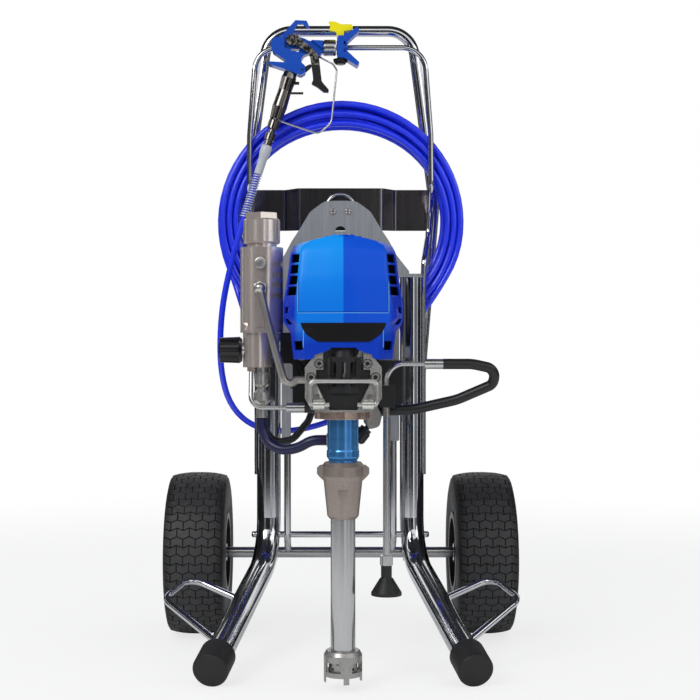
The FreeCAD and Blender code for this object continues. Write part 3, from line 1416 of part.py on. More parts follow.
def gun_body():
    """Moulded gun body with its hanging hook and rear spur."""
    body = gun_plate([(-116, 1031, 8), (-90, 1034, 4), (-82, 1037, 4), (-62, 1031), (-54, 1027),
                      (-30, 1026),
                      (-31, 1007), (-38, 998, 2), (-52, 1006), (-63, 1001.5, 8), (-69, 990, 6),
                      (-61, 983, 3),
                      (-60, 971, 4), (-68, 966, 4), (-78, 970), (-96, 977), (-124, 986, 1.5),
                      (-122, 990, 1.5),
                      (-97, 988.5), (-94, 992), (-116, 1007, 6), (-120, 1018, 6)])
    body = body.cut(gun_plate([(-86, 1013), (-70, 1013), (-72, 1008), (-85, 1008)], gun_thickness + 2))
    hook = gun_plate([(-103, 1030), (-101, 1037, 3), (-77.5, 1063, 3), (-58, 1062, 2), (-52.5, 1049),
                      (-57, 1049),
                      (-64, 1056, 2), (-74, 1056, 2), (-80, 1045), (-84, 1030)], 8)
    body = body.fuse([hook, rod(10, V(-60, gun_y, gun_barrel_z), V(-30, gun_y, gun_barrel_z))])
    front = gun_y - gun_thickness / 2
    lever_room = slab([(-96, 1040), (-70, 1042), (-30, 1012), (-30, 960), (-56, 960), (-56, 1000),
                       (-96, 1014)],
                      in_xz(front - 5), Y * (5 + trigger_depth))
    body = body.cut(lever_room)
    pivot = trigger_pivot()
    body = body.cut(rod(2.5 + running_gap, pivot - Y * 40, pivot + Y * (gun_thickness / 2 - 3)))
    slot = block(-73, -40, gun_y - lock_slot / 2, gun_y + lock_slot / 2, 960, 990)
    pin = V(lock_x, gun_y, lock_z)
    return body.cut(slot).cut(rod(lock_pin_d / 2 + running_gap, pin - Y * 40, pin + Y * 40))


trigger_depth = 7.5


def trigger_pivot():
    return V(-83.0, gun_y, 1026.0)


def gun_trigger():
    """Steel lever with a black grip, hung on its pivot at the gun's side."""
    pivot = trigger_pivot()
    face = gun_y - gun_thickness / 2 + trigger_depth - seat_gap
    lever = slab([(-76, 1036), (-41, 1005, 3), (-37, 998, 4), (-32, 955, 8), (-20, 941, 2), (-20, 936.5, 2),
                  (-29, 937, 4), (-39, 945, 4), (-50, 951, 2), (-47, 957), (-47.5, 966), (-52, 998, 6),
                  (-57, 1006, 4),
                  (-76, 1017)], in_xz(face - 9), Y * 9)
    boss = rod(9.6, V(pivot.x, face - 11, pivot.z), V(pivot.x, face, pivot.z))
    pin = rod(2.5, V(pivot.x, face - 1, pivot.z), V(pivot.x, gun_y + gun_thickness / 2 - 4, pivot.z))
    return lever.fuse([boss, pin])


lock_x, lock_z = -65.0, 975.0
lock_slot = 7.0
lock_pin_d = 4.0


def trigger_lock():
    """Small lever that turns on a pin in the gun's slot, behind the trigger."""
    half = lock_slot / 2 - seat_gap
    lever = slab([(-68.5, 971, 3), (-63, 970.5, 2), (-50.5, 981.5, 2), (-49.5, 986, 2), (-53, 987, 2),
                  (-68.5, 979.5, 3)], in_xz(gun_y - half), Y * 2 * half)
    reach = gun_thickness / 2 - 1
    pin = rod(lock_pin_d / 2, V(lock_x, gun_y - reach, lock_z), V(lock_x, gun_y + reach, lock_z))
    return lever.fuse(pin)


def grip_line():
    """Top of the grip and the way that it, the swivel and the hose's stiff end run."""
    return V(-86.0, gun_y, 972.2), V(-0.307, 0, -0.952).normalize()


grip_length = 87.2


def gun_grip():
    """Cast grip with the two-piece swivel below it."""
    top, axis = grip_line()
    low = top + axis * grip_length
    core = turned([(0, 0), (11, 0), (13, 10), (11.5, 32), (12.8, 62), (10.5, grip_length - 4),
                   (8.5, grip_length), (0, grip_length)], top, axis)
    pegs = [block(-86, -64, gun_y - 2.5, gun_y + 2.5, 935.5, 939),
            block(-80, -71, gun_y - 2, gun_y + 2, 952, 957)]
    grip = core.fuse(pegs).cut(gun_body())
    grip = max(grip.Solids, key=lambda solid: solid.Volume)
    swivel = turned([(hose_d / 2 - 1, 14), (hose_d / 2 - 1, 0), (10.5, 0), (10.5, 14), (5.5, 15.5),
                     (5.5, 21), (9, 22.5),
                     (9, 34), (7, 36), (7, 44), (hose_d / 2 - 1, 44)], low, axis)
    return Part.makeCompound([grip, swivel])


def gun_nut():
    """Retaining nut and the head of the tip guard."""
    start = V(-30, gun_y, gun_barrel_z)
    nut = turned([(0, 0), (12, 0), (14, 3), (14, 20), (12.5, 23.5), (0, 23.5)], start, X)
    head = turned([(0, 23.5), (12.6, 23.5), (12.9, 28), (12.9, 34), (10, 38), (7, 42), (0, 42)], start, X)
    return nut, head


tip_d = 9.0
tip_x = 0.0
tip_disc_d = 25.0
wing_width = 26.8        # the rack's rod passes behind the guard


def tip_guard():
    """Nut, guard head and the two blue wings that keep hands from the tip."""
    z = gun_barrel_z
    nut, head = gun_nut()
    wings = []
    for sign in (-1, 1):
        wing = slab([(-4, z + sign * 11), (5, z + sign * 11), (10.5, z + sign * 6.5),
                     (33, z + sign * 27.5, 1.5),
                     (29, z + sign * 33.5, 1.5), (6, z + sign * 19), (-4, z + sign * 19)],
                     in_xz(gun_y - wing_width / 2), Y * wing_width)
        wings.append(wing)
    flange = rod(19, V(-5.5, gun_y, z), V(5.5, gun_y, z))
    flange = flange.common(block(-6, 6, gun_y - wing_width / 2, gun_y + wing_width / 2, z - 20, z + 20))
    head = head.fuse([flange] + wings)
    middle = V(tip_x, gun_y, z)
    head = head.cut(rod(tip_d / 2 + running_gap, middle - Z * 40, middle + Z * 40))
    head = head.cut(rod(tip_disc_d / 2 + 0.7, middle - Z * 60, middle - Z * 19.3))
    head = head.cut(rod(8.2, middle + Z * 14.5, middle + Z * 60))
    return Part.makeCompound([nut, head])


def tip_handle():
    """Reversible tip: a barrel across the guard, a flat T grip above and a disc below."""
    z = gun_barrel_z
    barrel = rod(tip_d / 2, V(tip_x, gun_y, z - 20), V(tip_x, gun_y, z + 16))
    grip = slab([(-5.7, z + 15), (5.8, z + 15), (6.5, z + 29), (18.6, z + 30.5, 2), (21.8, z + 35),
                 (19.8, z + 40.5, 1),
                 (1, z + 40.5), (-9, z + 45, 3), (-20.3, z + 45.5, 1), (-17, z + 35), (-20.3, z + 30.5, 1),
                 (-7, z + 27.5, 3)], in_xz(gun_y - 3.5), Y * 7)
    r = tip_disc_d / 2
    disc = turned([(0, 0), (r - 4.5, 0), (r - 1, 4), (r, 9), (0, 9)], V(tip_x, gun_y, z - 28.6), Z)
    return barrel.fuse([grip, disc])


def wire_guard():
    """Bent wire from the gun's nose down in front of the trigger and back to the grip."""
    top, axis = grip_line()
    low = top + axis * (grip_length - 3)
    points = [V(-36, gun_y + 5, 1001), V(-13, gun_y, 988), V(-6, gun_y, 978), V(-15.5, gun_y, 887),
              V(-37, gun_y, 867),
              V(low.x + 2, gun_y, low.z - 1)]
    wire = piped(bent_path(points, [6, 6, 16, 16]), 1.6)
    wire = wire.cut(gun_body()).cut(gun_grip())
    return max(wire.Solids, key=lambda solid: solid.Volume)


def hose_exit(distance):
    """A point on the line of the grip, measured from the grip's end."""
    top, axis = grip_line()
    return top + axis * (grip_length + distance)


swivel_length = 44.0
shrink_length = 52.0     # sleeve over the hose's crimped end
spring_wire_d = 2.2
spring_curls = 17.5
spring_pitch = 4.3


def helix(start, axis, radius, pitch, curls):
    """A wire of arcs that follows a helix, four biarc pairs a turn."""
    side = axis.cross(Y).normalize()
    other = axis.cross(side)
    steps = int(4 * curls)

    def at(turn):
        angle = 2 * math.pi * turn
        outward = side * math.cos(angle) + other * math.sin(angle)
        return start + axis * (pitch * turn) + outward * radius

    def heading(turn):
        angle = 2 * math.pi * turn
        way = side * (-radius * math.sin(angle)) + other * (radius * math.cos(angle))
        return (way * (2 * math.pi) + axis * pitch).normalize()

    return biarc_wire([(at(i / 4), heading(i / 4)) for i in range(steps + 1)])


def arc_from(start, heading, end):
    """The arc that leaves start along heading and reaches end."""
    chord = end - start
    length = chord.Length
    unit = V(chord).normalize()
    lean = heading.dot(unit)
    across = heading - unit * lean
    if across.Length < 1e-7:
        return Part.LineSegment(start, end).toShape()
    across.normalize()
    half = math.acos(max(-1, min(1, lean)))
    middle = start + chord * 0.5 + across * (length / 2 * math.tan(half / 2))
    return Part.Arc(start, middle, end).toShape()


def biarc(start, heading, end, leaving):
    """Two tangent arcs between two points with given directions."""
    gap = end - start
    total = heading + leaving
    a = 2 * (1 - heading.dot(leaving))
    b = 2 * gap.dot(total)
    c = -gap.dot(gap)
    reach = -c / b if abs(a) < 1e-9 else (-b + math.sqrt(b * b - 4 * a * c)) / (2 * a)
    join = (start + heading * reach + end - leaving * reach) * 0.5
    return [arc_from(start, heading, join), arc_from(join, (end - leaving * reach - join).normalize(), end)]


def biarc_wire(stations):
    edges = []
    for (start, heading), (end, leaving) in zip(stations, stations[1:]):
        edges += biarc(start, heading, end, leaving)
    return Part.Wire(edges)


def spring_guard():
    """Shrink sleeve on the hose's crimped end and the wire spring below it."""
    axis = grip_line()[1]
    bore = hose_d / 2 + seat_gap
    start = hose_exit(swivel_length + seat_gap)
    cover = turned([(bore, 0), (8, 0), (9.5, 4), (9.5, 14), (7.5, 24), (7.2, shrink_length),
                    (bore, shrink_length)],
                   start, axis)
    radius = bore + spring_wire_d / 2
    near = hose_exit(swivel_length + shrink_length + spring_wire_d)
    wire = piped(helix(near, axis, radius, spring_pitch, spring_curls), spring_wire_d / 2)
    return Part.makeCompound([cover, wire])


def coil_point(turn):
    """A point of the hose coil, turn counted from its start."""
    angle = math.radians(coil_start_deg) + 2 * math.pi * turn
    phase = turn / coil_turns_per_layer
    whole = math.floor(phase)
    share = phase - whole
    inward = (share if whole % 2 == 0 else 1 - share) * coil_turns_per_layer * coil_pitch()
    spread = 1 + coil_fan * math.sin(angle) ** 2
    radius = coil_outer_radius - inward * spread
    layer = 0.0
    for change in range(1, coil_layers):
        passed = (turn - change * coil_turns_per_layer) / 0.5 + 0.5
        layer += 0.5 - 0.5 * math.cos(math.pi * min(max(passed, 0), 1))
    return V(radius * math.cos(angle), coil_front_y() + layer * coil_pitch(),
             coil_centre_z + radius * math.sin(angle))


def coil_heading(turn):
    step = 1e-4
    return (coil_point(turn + step) - coil_point(turn - step)).normalize()


def coil_turns():
    return coil_layers * coil_turns_per_layer


def hose_coil():
    """The hose wound on the rack, four layers deep, with its least gap to itself printed."""
    total = coil_turns()
    count = int(math.ceil(total * 8))
    turns = [total * i / count for i in range(count + 1)]
    path = biarc_wire([(coil_point(t), coil_heading(t)) for t in turns])
    samples = [(total * i / 1200, coil_point(total * i / 1200)) for i in range(1201)]
    least = min((a - b).Length for i, (s, a) in enumerate(samples)
                for t, b in samples[i + 1:] if t - s > 0.5)
    print("hose_coil: length %.0f mm, least gap to itself %.2f mm" % (path.Length, least - hose_d))
    return piped(path, hose_d / 2)


def hose_lead():
    """The hose from the gun down past the pump and up to the coil."""
    end, behind = coil_point(0), coil_front_y() + 16.5
    stiff_end = swivel_length + shrink_length + spring_curls * spring_pitch + 12
    route = [hose_exit(swivel_length), hose_exit(stiff_end), V(-190, 126, 640), V(-204, 129, 575),
             V(-209, 132, 510),
             V(-207, 138, 452), V(-194, 148, 401), V(-164, 160, 366), V(-121, behind, 350),
             V(-70, behind, 353),
             V(-20, behind, 367), V(34, behind - 2, 390), V(80, behind - 6, 424), V(107, behind - 10, 466),
             V(119, behind - 14, 508), end - coil_heading(0) * 48, end]
    return cord("hose_lead", route, hose_d)


def hose_tail():
    """The hose from the coil's other end to the manifold."""
    total = coil_turns()
    end, heading = coil_point(total), coil_heading(total)
    fit = V(manifold_x, manifold_y + manifold_half_y + 48, tail_z)
    route = [end, end + heading * 34, V(-175, 172, 580.5), V(-165, 145, 553), V(-156, 104, 539.5),
             V(-150, 56, 540.5), V(-146, 5, 545), V(-134.5, -34, 551), V(manifold_x, -70, tail_z), fit]
    return cord("hose_tail", route, hose_d)


NODES = {
    "frame_tube_left": lambda: frame_tube(-1),
    "frame_tube_right": lambda: frame_tube(1),
    "leg_caps": leg_caps,
    "frame_rods": frame_rods,
    "foot_loops": foot_loops,
    "axle": axle,
    "frame_brackets": frame_brackets,
    "tyre_left": lambda: tyre(-1),
    "tyre_right": lambda: tyre(1),
    "rim_left": lambda: rim(-1),
    "rim_right": lambda: rim(1),
    "handle": handle,
    "hose_rack": hose_rack,
    "mounting_plate": mounting_plate,
    "band_bracket": band_bracket,
    "lift_ring": lift_ring,
    "motor_can": motor_can,
    "armature": armature,
    "idler_gear": idler_gear,
    "crank_gear": crank_gear,
    "con_rod": con_rod,
    "piston_rod": piston_rod,
    "gearbox": gearbox,
    "bearing_housing": bearing_housing,
    "bail": bail,
    "pump_door": pump_door,
    "jam_nut": jam_nut,
    "pump_sleeve": pump_sleeve,
    "pump_packings": pump_packings,
    "intake_nut": intake_nut,
    "intake_tube": intake_tube,
    "strainer": strainer,
    "front_cover": front_cover,
    "control_box": control_box,
    "power_switch": power_switch,
    "manifold": manifold,
    "filter_cap": filter_cap,
    "filter_element": filter_element,
    "pressure_knob": pressure_knob,
    "crossover_tube": crossover_tube,
    "hose_fittings": hose_fittings,
    "navy_hose": navy_hose,
    "control_lead": control_lead,
    "drain_tubes": drain_tubes,
    "drain_hose": drain_hose,
    "tube_clip": tube_clip,
    "drain_deflector": drain_deflector,
    "prime_knob": prime_knob,
    "cap_screws": cap_screws,
    "gun_body": gun_body,
    "gun_trigger": gun_trigger,
    "trigger_lock": trigger_lock,
    "gun_grip": gun_grip,
    "tip_guard": tip_guard,
    "tip_handle": tip_handle,
    "wire_guard": wire_guard,
    "spring_guard": spring_guard,
    "hose_lead": hose_lead,
    "hose_coil": hose_coil,
    "hose_tail": hose_tail,
}

os.makedirs("parts", exist_ok=True)
for name, make in NODES.items():
    shape = make()
    shape.exportStep("parts/%s.step" % name)
    print("%s: %d solids, valid %s, volume %.0f" % (name, len(shape.Solids), shape.isValid(), shape.Volume))
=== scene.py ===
# %% [markdown]
# # An airless paint sprayer on its cart
# The machine was constructed in CAD, and this script gives it its looks in Blender. The CAD
# model is the fixed frame: its nodes stay where they are, and every piece made here is placed
# The script loads it first.

# %% Load the frame
import math

import bmesh
import bpy
from mathutils import Matrix, Vector


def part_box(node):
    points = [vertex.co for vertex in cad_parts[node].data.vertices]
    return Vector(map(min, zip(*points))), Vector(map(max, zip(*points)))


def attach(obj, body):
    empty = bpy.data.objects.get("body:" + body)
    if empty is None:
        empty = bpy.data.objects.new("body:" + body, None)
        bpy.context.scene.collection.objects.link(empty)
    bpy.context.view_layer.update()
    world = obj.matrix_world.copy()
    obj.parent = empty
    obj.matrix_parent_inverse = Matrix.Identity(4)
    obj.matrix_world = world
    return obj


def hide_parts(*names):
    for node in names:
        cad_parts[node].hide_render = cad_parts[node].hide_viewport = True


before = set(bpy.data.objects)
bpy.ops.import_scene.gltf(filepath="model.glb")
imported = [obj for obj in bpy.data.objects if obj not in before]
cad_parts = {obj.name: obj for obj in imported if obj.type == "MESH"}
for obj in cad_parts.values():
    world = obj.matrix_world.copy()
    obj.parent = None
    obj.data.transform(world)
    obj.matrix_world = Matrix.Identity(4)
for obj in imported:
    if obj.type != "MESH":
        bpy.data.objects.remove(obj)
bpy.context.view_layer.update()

# %% [markdown]
# ## The camera
# The photograph was taken from the front at half the machine's height, level, with a long lens.
# A level camera keeps the upright tubes parallel. It could be tilted down a little to centre the
# machine, but that would make the tubes lean, so the lens is shifted instead.

# %% Camera
CAMERA_PLACE = (-0.025, -2.22, 0.494)
LENS_MM = 69.7
SENSOR_MM = 36.0
LENS_SHIFT = 0.0345
FARTHEST_SEEN = 60.0


def placed(name, data):
    """A new object in the scene, with this as its data."""
    made = bpy.data.objects.new(name, data)
    bpy.context.scene.collection.objects.link(made)
    return made


camera = placed("camera", bpy.data.cameras.new("camera"))
camera.location = CAMERA_PLACE
camera.rotation_euler = (math.radians(90), 0, 0)
camera.data.lens = LENS_MM
camera.data.sensor_width = SENSOR_MM
camera.data.shift_x = LENS_SHIFT
camera.data.clip_end = FARTHEST_SEEN
bpy.context.scene.camera = camera
print("camera at", tuple(camera.location))

# %% [markdown]
# ## The spray hose
# A high pressure hose is one long piece. It leaves the gun's swivel, hangs down past the pump,
# rises behind the frame to the rack, lies there in four layers of turns, and comes back to the
# filter manifold. It could be a swept mesh, but a curve is its own centre line and stays easy to
# change. The spline is a NURBS one, because it passes smoothly near its points and never kinks.

# %% The coil's turns
MM = 0.001
HOSE_RADIUS = 5.3 * MM
COIL_MIDDLE_Z = 719.0
COIL_RADIUS = 210.7
COIL_FRONT_Y = 151.25
COIL_START_DEG = -38.0
COIL_PITCH = 11.2
TURNS_PER_LAYER = 2.915
LAYERS = 4
POINTS_PER_TURN = 16
EASE_TURNS = 0.5
# how far the turns fan out at top and bottom: on average, and how much that differs by layer
SPREAD, SPREAD_CHANGE = 0.34, 0.22
# a control point stands outside the curve that it bends, by this share of the radius
POINT_LIFT = 1.0 / (2.0 / 3.0 + math.cos(2.0 * math.pi / POINTS_PER_TURN) / 3.0)


def layer_depth(turn):
    """How many layers behind the front one the hose lies, eased over half a turn."""
    depth = 0.0
    for change in range(1, LAYERS):
        passed = min(max((turn - change * TURNS_PER_LAYER) / EASE_TURNS + 0.5, 0.0), 1.0)
        depth += 0.5 - 0.5 * math.cos(math.pi * passed)
    return depth


def coil_point(turn):
    """A point on the coil, with the turns fanned out at top and bottom where nothing ties them."""
    angle = math.radians(COIL_START_DEG) + 2.0 * math.pi * turn
    phase = turn / TURNS_PER_LAYER
    share = phase - math.floor(phase)
    inward = share if math.floor(phase) % 2 == 0 else 1.0 - share
    loose = SPREAD + SPREAD_CHANGE * math.cos(math.pi * layer_depth(turn))
    fan = 1.0 + loose * math.sin(angle) ** 2
    radius = (COIL_RADIUS - inward * TURNS_PER_LAYER * COIL_PITCH * fan) * POINT_LIFT
    return (radius * math.cos(angle), COIL_FRONT_Y + layer_depth(turn) * COIL_PITCH,
            COIL_MIDDLE_Z + radius * math.sin(angle))


coil_turns = LAYERS * TURNS_PER_LAYER
coil_count = math.ceil(coil_turns * POINTS_PER_TURN)
coil = [coil_point(coil_turns * i / coil_count) for i in range(1, coil_count)]
print("coil:", round(coil_turns, 2), "turns,", len(coil), "points")

# %% [markdown]
# ## From the gun to the manifold
# The lead and the tail hang free, so a formula can't draw them: their points were chosen one by
# one, sagging under the hose's weight and never bending sharply. The coil's points go between
# them, and one spline runs through all three. A round bevel then turns the line into a tube.

# %% The whole hose
# Blender widens a curve's box by its points' radius, so that is small and the bevel makes up for it
POINT_RADIUS = 0.01
lead = [(-126.27, 121, 847.33), (-169.01, 121, 714.8), (-190, 126, 640),
        (-204, 129, 575), (-209, 132, 510), (-207, 138, 452),
        (-194, 148, 401), (-164, 160, 366), (-121, 167.75, 350),
        (-70, 167.75, 353), (-20, 167.75, 367), (34, 165.75, 390),
        (80, 161.75, 424), (107, 157.75, 466), (119, 153.75, 508),
        (136.48, 151.25, 551.46)]
tail = [(-187.09, 184.85, 616.29), (-175, 172, 580.5), (-165, 145, 553),
        (-156, 104, 539.5), (-150, 56, 540.5), (-146, 5, 545),
        (-134.5, -34, 551), (-121.8, -70, 556), (-121.8, -99, 556)]
coil_start = (166.03, 151.25, 589.28)
coil_end = (-198.49, 184.85, 648.32)
route = lead + [coil_start] + coil + [coil_end] + tail

hose_line = bpy.data.curves.new("spray_hose", "CURVE")
hose_line.dimensions = "3D"
spline = hose_line.splines.new("NURBS")
spline.points.add(len(route) - 1)
for point, (x, y, z) in zip(spline.points, route):
    point.co = (x * MM, y * MM, z * MM, 1.0)
    point.radius = POINT_RADIUS
spline.use_endpoint_u = True
spline.order_u = 3
spline.resolution_u = 4
hose_line.bevel_depth = HOSE_RADIUS / POINT_RADIUS
hose_line.bevel_resolution = 4
hose_line.use_fill_caps = True
hose = placed("spray_hose", hose_line)
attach(hose, "cart")
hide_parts("hose_lead", "hose_coil", "hose_tail")
print("hose:", len(route), "control points")

# %% [markdown]
# ## Shader arithmetic
# A material is a tree of nodes. Written node by node it is long and hard to read, so a small
# class wraps a socket and lets Python's own signs add the Math nodes. Every other kind of node
# comes from one method, which sets the node up first and then fills or links its sockets.

# %% Shader class
class Shade:
    """A socket of a material; arithmetic on it adds Math nodes to the tree."""

    def __init__(self, tree, socket=None):
        self.tree = tree
        self.socket = socket

    def add(self, kind, settings=None, sockets=None, out=0):
        """Any other node: its type, its settings, then the values or links of its sockets."""
        node = self.tree.nodes.new("ShaderNode" + kind)
        for name, value in (settings or {}).items():
            setattr(node, name, value)
        for key, value in (sockets or {}).items():
            if isinstance(value, Shade):
                self.tree.links.new(value.socket, node.inputs[key])
            else:
                node.inputs[key].default_value = value
        return Shade(self.tree, node.outputs[out] if node.outputs else None)

    def maths(self, operation, first, second):
        """A Math node on two values, numbers or shades."""
        return self.add("Math", {"operation": operation}, {0: first, 1: second})

    def __add__(self, other):
        return self.maths("ADD", self, other)

    def __sub__(self, other):
        return self.maths("SUBTRACT", self, other)

    def __rsub__(self, other):
        return self.maths("SUBTRACT", other, self)

    def __mul__(self, other):
        return self.maths("MULTIPLY", self, other)

    def __gt__(self, other):
        return self.maths("GREATER_THAN", self, other)

    def __lt__(self, other):
        return self.maths("LESS_THAN", self, other)

    __radd__ = __add__
    __rmul__ = __mul__


print("shader class:", Shade.__doc__)

# %% [markdown]
# ## Patterns that every finish uses
# Nothing real has one even colour: metal has grain, castings are pitted, plastic has a fine
# tooth. All of these start as noise on the object's own metres. Stretching the noise along one
# direction turns spots into brushed grain. An image could do this too, but noise has no seams.

# %% Pattern helpers
def spot(shade, scale, stretch=(1.0, 1.0, 1.0), detail=2.0):
    """Noise on the object's metres, from 0 to 1, stretched along small numbers."""
    place = shade.add("TexCoord", out="Object")
    drawn = shade.add("VectorMath", {"operation": "MULTIPLY"}, {0: place, 1: stretch})
    return shade.add("TexNoise", {}, {"Vector": drawn, "Scale": scale, "Detail": detail})


def along(shade, name):
    """The object's X, Y or Z, in metres."""
    place = shade.add("TexCoord", out="Object")
    return shade.add("SeparateXYZ", {}, {0: place}, out=name)


def step(shade, value, low, high):
    """Rises smoothly from 0 to 1 while the value goes from low to high."""
    return shade.add("MapRange", {"interpolation_type": "SMOOTHSTEP"},
                     {"Value": value, "From Min": low, "From Max": high})


def tint(shade, mask, under, over):
    """The first colour where the mask is 0 and the second where it is 1."""
    pair = {0: mask}
    for socket, colour in ((6, under), (7, over)):
        pair[socket] = colour if isinstance(colour, Shade) else (*colour, 1.0)
    return shade.add("Mix", {"data_type": "RGBA"}, pair, out=2)


def blank(name):
    """A material whose tree is empty, so that nothing stands in it by default."""
    material = bpy.data.materials.new(name)
    material.use_nodes = True
    material.node_tree.nodes.clear()
    return material


def finish(name, varying, height=0.0002, **fixed):
    """A Principled material. Fixed numbers stand on its sockets, and varying ones are linked."""
    material = blank(name)
    shade = Shade(material.node_tree)
    links = varying(shade)
    relief = links.pop("Relief", None)
    if relief is not None:
        links["Normal"] = shade.add("Bump", {}, {"Height": relief, "Distance": height})
    for socket, value in fixed.items():
        links[socket.replace("_", " ")] = value
    shade.add("OutputMaterial", {}, {0: shade.add("BsdfPrincipled", {}, links)})
    return material


print("pattern helpers:", [helper.__name__ for helper in (spot, along, step, tint, finish)])

# %% [markdown]
# ## The studio
# The photograph has a white ground, soft light from the upper left and dark streaks in the
# chrome. Chrome has no colour of its own: it shows the room. So the world is white wherever the
# camera or a reflection looks at it, and dim for the light that it sheds, which keeps pale
# surfaces from clipping. Tall dark cards stand round the machine with narrow gaps between them,
# and only reflections see them: each gap becomes a bright line along every tube.

# %% World and lamps
ROOM_LIGHT = 0.62
world = bpy.data.worlds.new("studio")
bpy.context.scene.world = world
world.use_nodes = True
world.node_tree.nodes.clear()
sky = Shade(world.node_tree)
seen = sky.add("LightPath", out="Is Camera Ray")
for ray in ("Is Glossy Ray", "Is Transmission Ray"):
    seen = seen + sky.add("LightPath", out=ray)
dim = sky.add("Background", {}, {"Color": (0.96, 0.98, 1.0, 1.0), "Strength": ROOM_LIGHT})
white = sky.add("Background", {}, {"Color": (1.0, 1.0, 1.0, 1.0), "Strength": 1.0})
shown = sky.add("MixShader", {}, {0: seen, 1: dim, 2: white})
sky.add("OutputWorld", {}, {0: shown})


def lamp(name, place, aim, width, power):
    """A square soft box at a place, turned to face another."""
    data = bpy.data.lights.new(name, "AREA")
    data.shape = "SQUARE"
    data.size = width
    data.energy = power
    box = placed(name, data)
    box.location = place
    box.rotation_euler = (Vector(aim) - Vector(place)).to_track_quat("-Z", "Y").to_euler()


lamp("key_lamp", (-1.7, -2.2, 2.3), (0.0, 0.0, 0.55), 1.3, 34.0)
lamp("fill_lamp", (2.2, -1.4, 1.6), (0.0, 0.0, 0.5), 1.6, 9.0)
bpy.context.scene.view_settings.view_transform = "Standard"

# %% [markdown]
# ## The floor
# The floor is one large disc that fades out before its rim, so no horizon shows. A backdrop could
# curve up behind the machine, but chrome would mirror it. To the camera most of the disc is a
# white glow, and the matt rest is enough to hold the machine's soft shadow.

# %% Floor
FLOOR_RADIUS = 3.0
FLOOR_FADE = (1.0, 2.6)
FLOOR_GLOW = 0.74


def from_bmesh(name, shape, material):
    """An object that has this bmesh as its mesh, with one material."""
    mesh = bpy.data.meshes.new(name)
    shape.to_mesh(mesh)
    shape.free()
    mesh.materials.append(material)
    return placed(name, mesh)


floor_look = blank("floor")
pen = Shade(floor_look.node_tree)
far = pen.add("VectorMath", {"operation": "LENGTH"}, {0: pen.add("TexCoord", out="Object")},
              out="Value")
matt = pen.add("BsdfDiffuse", {}, {"Color": (0.9, 0.9, 0.9, 1.0)})
glow = pen.add("Emission", {}, {"Color": (1.0, 1.0, 1.0, 1.0), "Strength": 1.0})
ground = pen.add("MixShader", {}, {0: pen.add("LightPath", out="Is Camera Ray") * FLOOR_GLOW,
                                   1: matt, 2: glow})
gone = pen.add("BsdfTransparent", {}, {})
faded = pen.add("MixShader", {}, {0: step(pen, far, *FLOOR_FADE), 1: ground, 2: gone})
pen.add("OutputMaterial", {}, {0: faded})
disc = bmesh.new()
bmesh.ops.create_circle(disc, cap_ends=True, segments=64, radius=FLOOR_RADIUS)
floor = from_bmesh("floor", disc, floor_look)
print("floor:", FLOOR_RADIUS, "m to its rim, gone at", FLOOR_FADE[1])

# %% [markdown]
# ## Dark cards for the chrome
# A studio puts black card beside shiny metal to draw its edges. Real cards would also darken the
# picture and throw shadows, so these are hidden from every ray except a reflection's. Each is a
# flat grid of one face, moved out from the middle and turned to its bearing.

# %% Dark cards
CARD_DISTANCE = 4.0
CARD_HALF_HEIGHT = 1.5
CARD_MIDDLE = 0.6
CEILING_PLACE, CEILING_HALF = (0.0, 0.6, 3.2), (5.0, 2.9, 1.0, 1.0)


def card_material(name, level):
    """An even glow of one low level, with a trace of blue."""
    look = blank(name)
    pen = Shade(look.node_tree)
    colour = (level, level * 1.03, level * 1.15, 1.0)
    pen.add("OutputMaterial", {}, {0: pen.add("Emission", {}, {"Color": colour})})
    return look


def only_reflected(piece):
    """Hides a piece from every ray but a reflection's."""
    for ray in ("camera", "diffuse", "shadow", "transmission"):
        setattr(piece, "visible_" + ray, False)


def card_ring(name, cards, look):
    """Upright cards round the machine, each with its bearing from the front and its width."""
    shape = bmesh.new()
    for bearing, wide in cards:
        half = CARD_DISTANCE * math.tan(math.radians(wide / 2.0))
        out = Matrix.Translation((0, -CARD_DISTANCE, CARD_MIDDLE))
        upright = Matrix.Rotation(math.radians(90), 4, "X")
        size = Matrix.Diagonal((half, CARD_HALF_HEIGHT, 1, 1))
        bmesh.ops.create_grid(shape, x_segments=1, y_segments=1, size=1.0,
                              matrix=Matrix.Rotation(math.radians(bearing), 4, "Z") @ out
                              @ upright @ size)
    only_reflected(from_bmesh(name, shape, look))


card_ring("black_cards", ((-142, 50), (-96, 34), (-58, 34), (-8, 44), (74, 34), (116, 34),
                          (152, 26)), card_material("black_card", 0.02))
card_ring("grey_cards", ((-35, 10), (38, 30), (94, 6), (-77, 4)), card_material("grey_card", 0.16))
roof = bmesh.new()
bmesh.ops.create_grid(roof, x_segments=1, y_segments=1, size=1.0,
                      matrix=Matrix.Translation(CEILING_PLACE) @ Matrix.Diagonal(CEILING_HALF))
only_reflected(from_bmesh("black_ceiling", roof, card_material("ceiling_card", 0.03)))
print("cards: two rings and a ceiling")

# %% [markdown]
# ## Bright metals
# The tubes are chromed steel: almost a mirror, with faint polishing haze that changes the
# roughness from spot to spot. Plated fittings are softer, and a zinc or brushed steel surface
# has grain along the way that it was drawn or ground. One recipe serves them all, with its
# own colour, roughness and grain for each.

# %% Metal finishes
def metal(name, dark, light, rough, scale=60.0, stretch=(1, 1, 1), depth=0.00005, share=1.0):
    """Metal between two shades, with its grain drawn out along the small stretch numbers."""
    def varying(shade):
        grain = spot(shade, scale, stretch, 3.0)
        haze = spot(shade, 9.0)
        return {"Base Color": tint(shade, grain, dark, light),
                "Roughness": haze * (rough[1] - rough[0]) + rough[0] + grain * 0.04,
                "Relief": grain}
    return finish(name, varying, depth, Metallic=share)


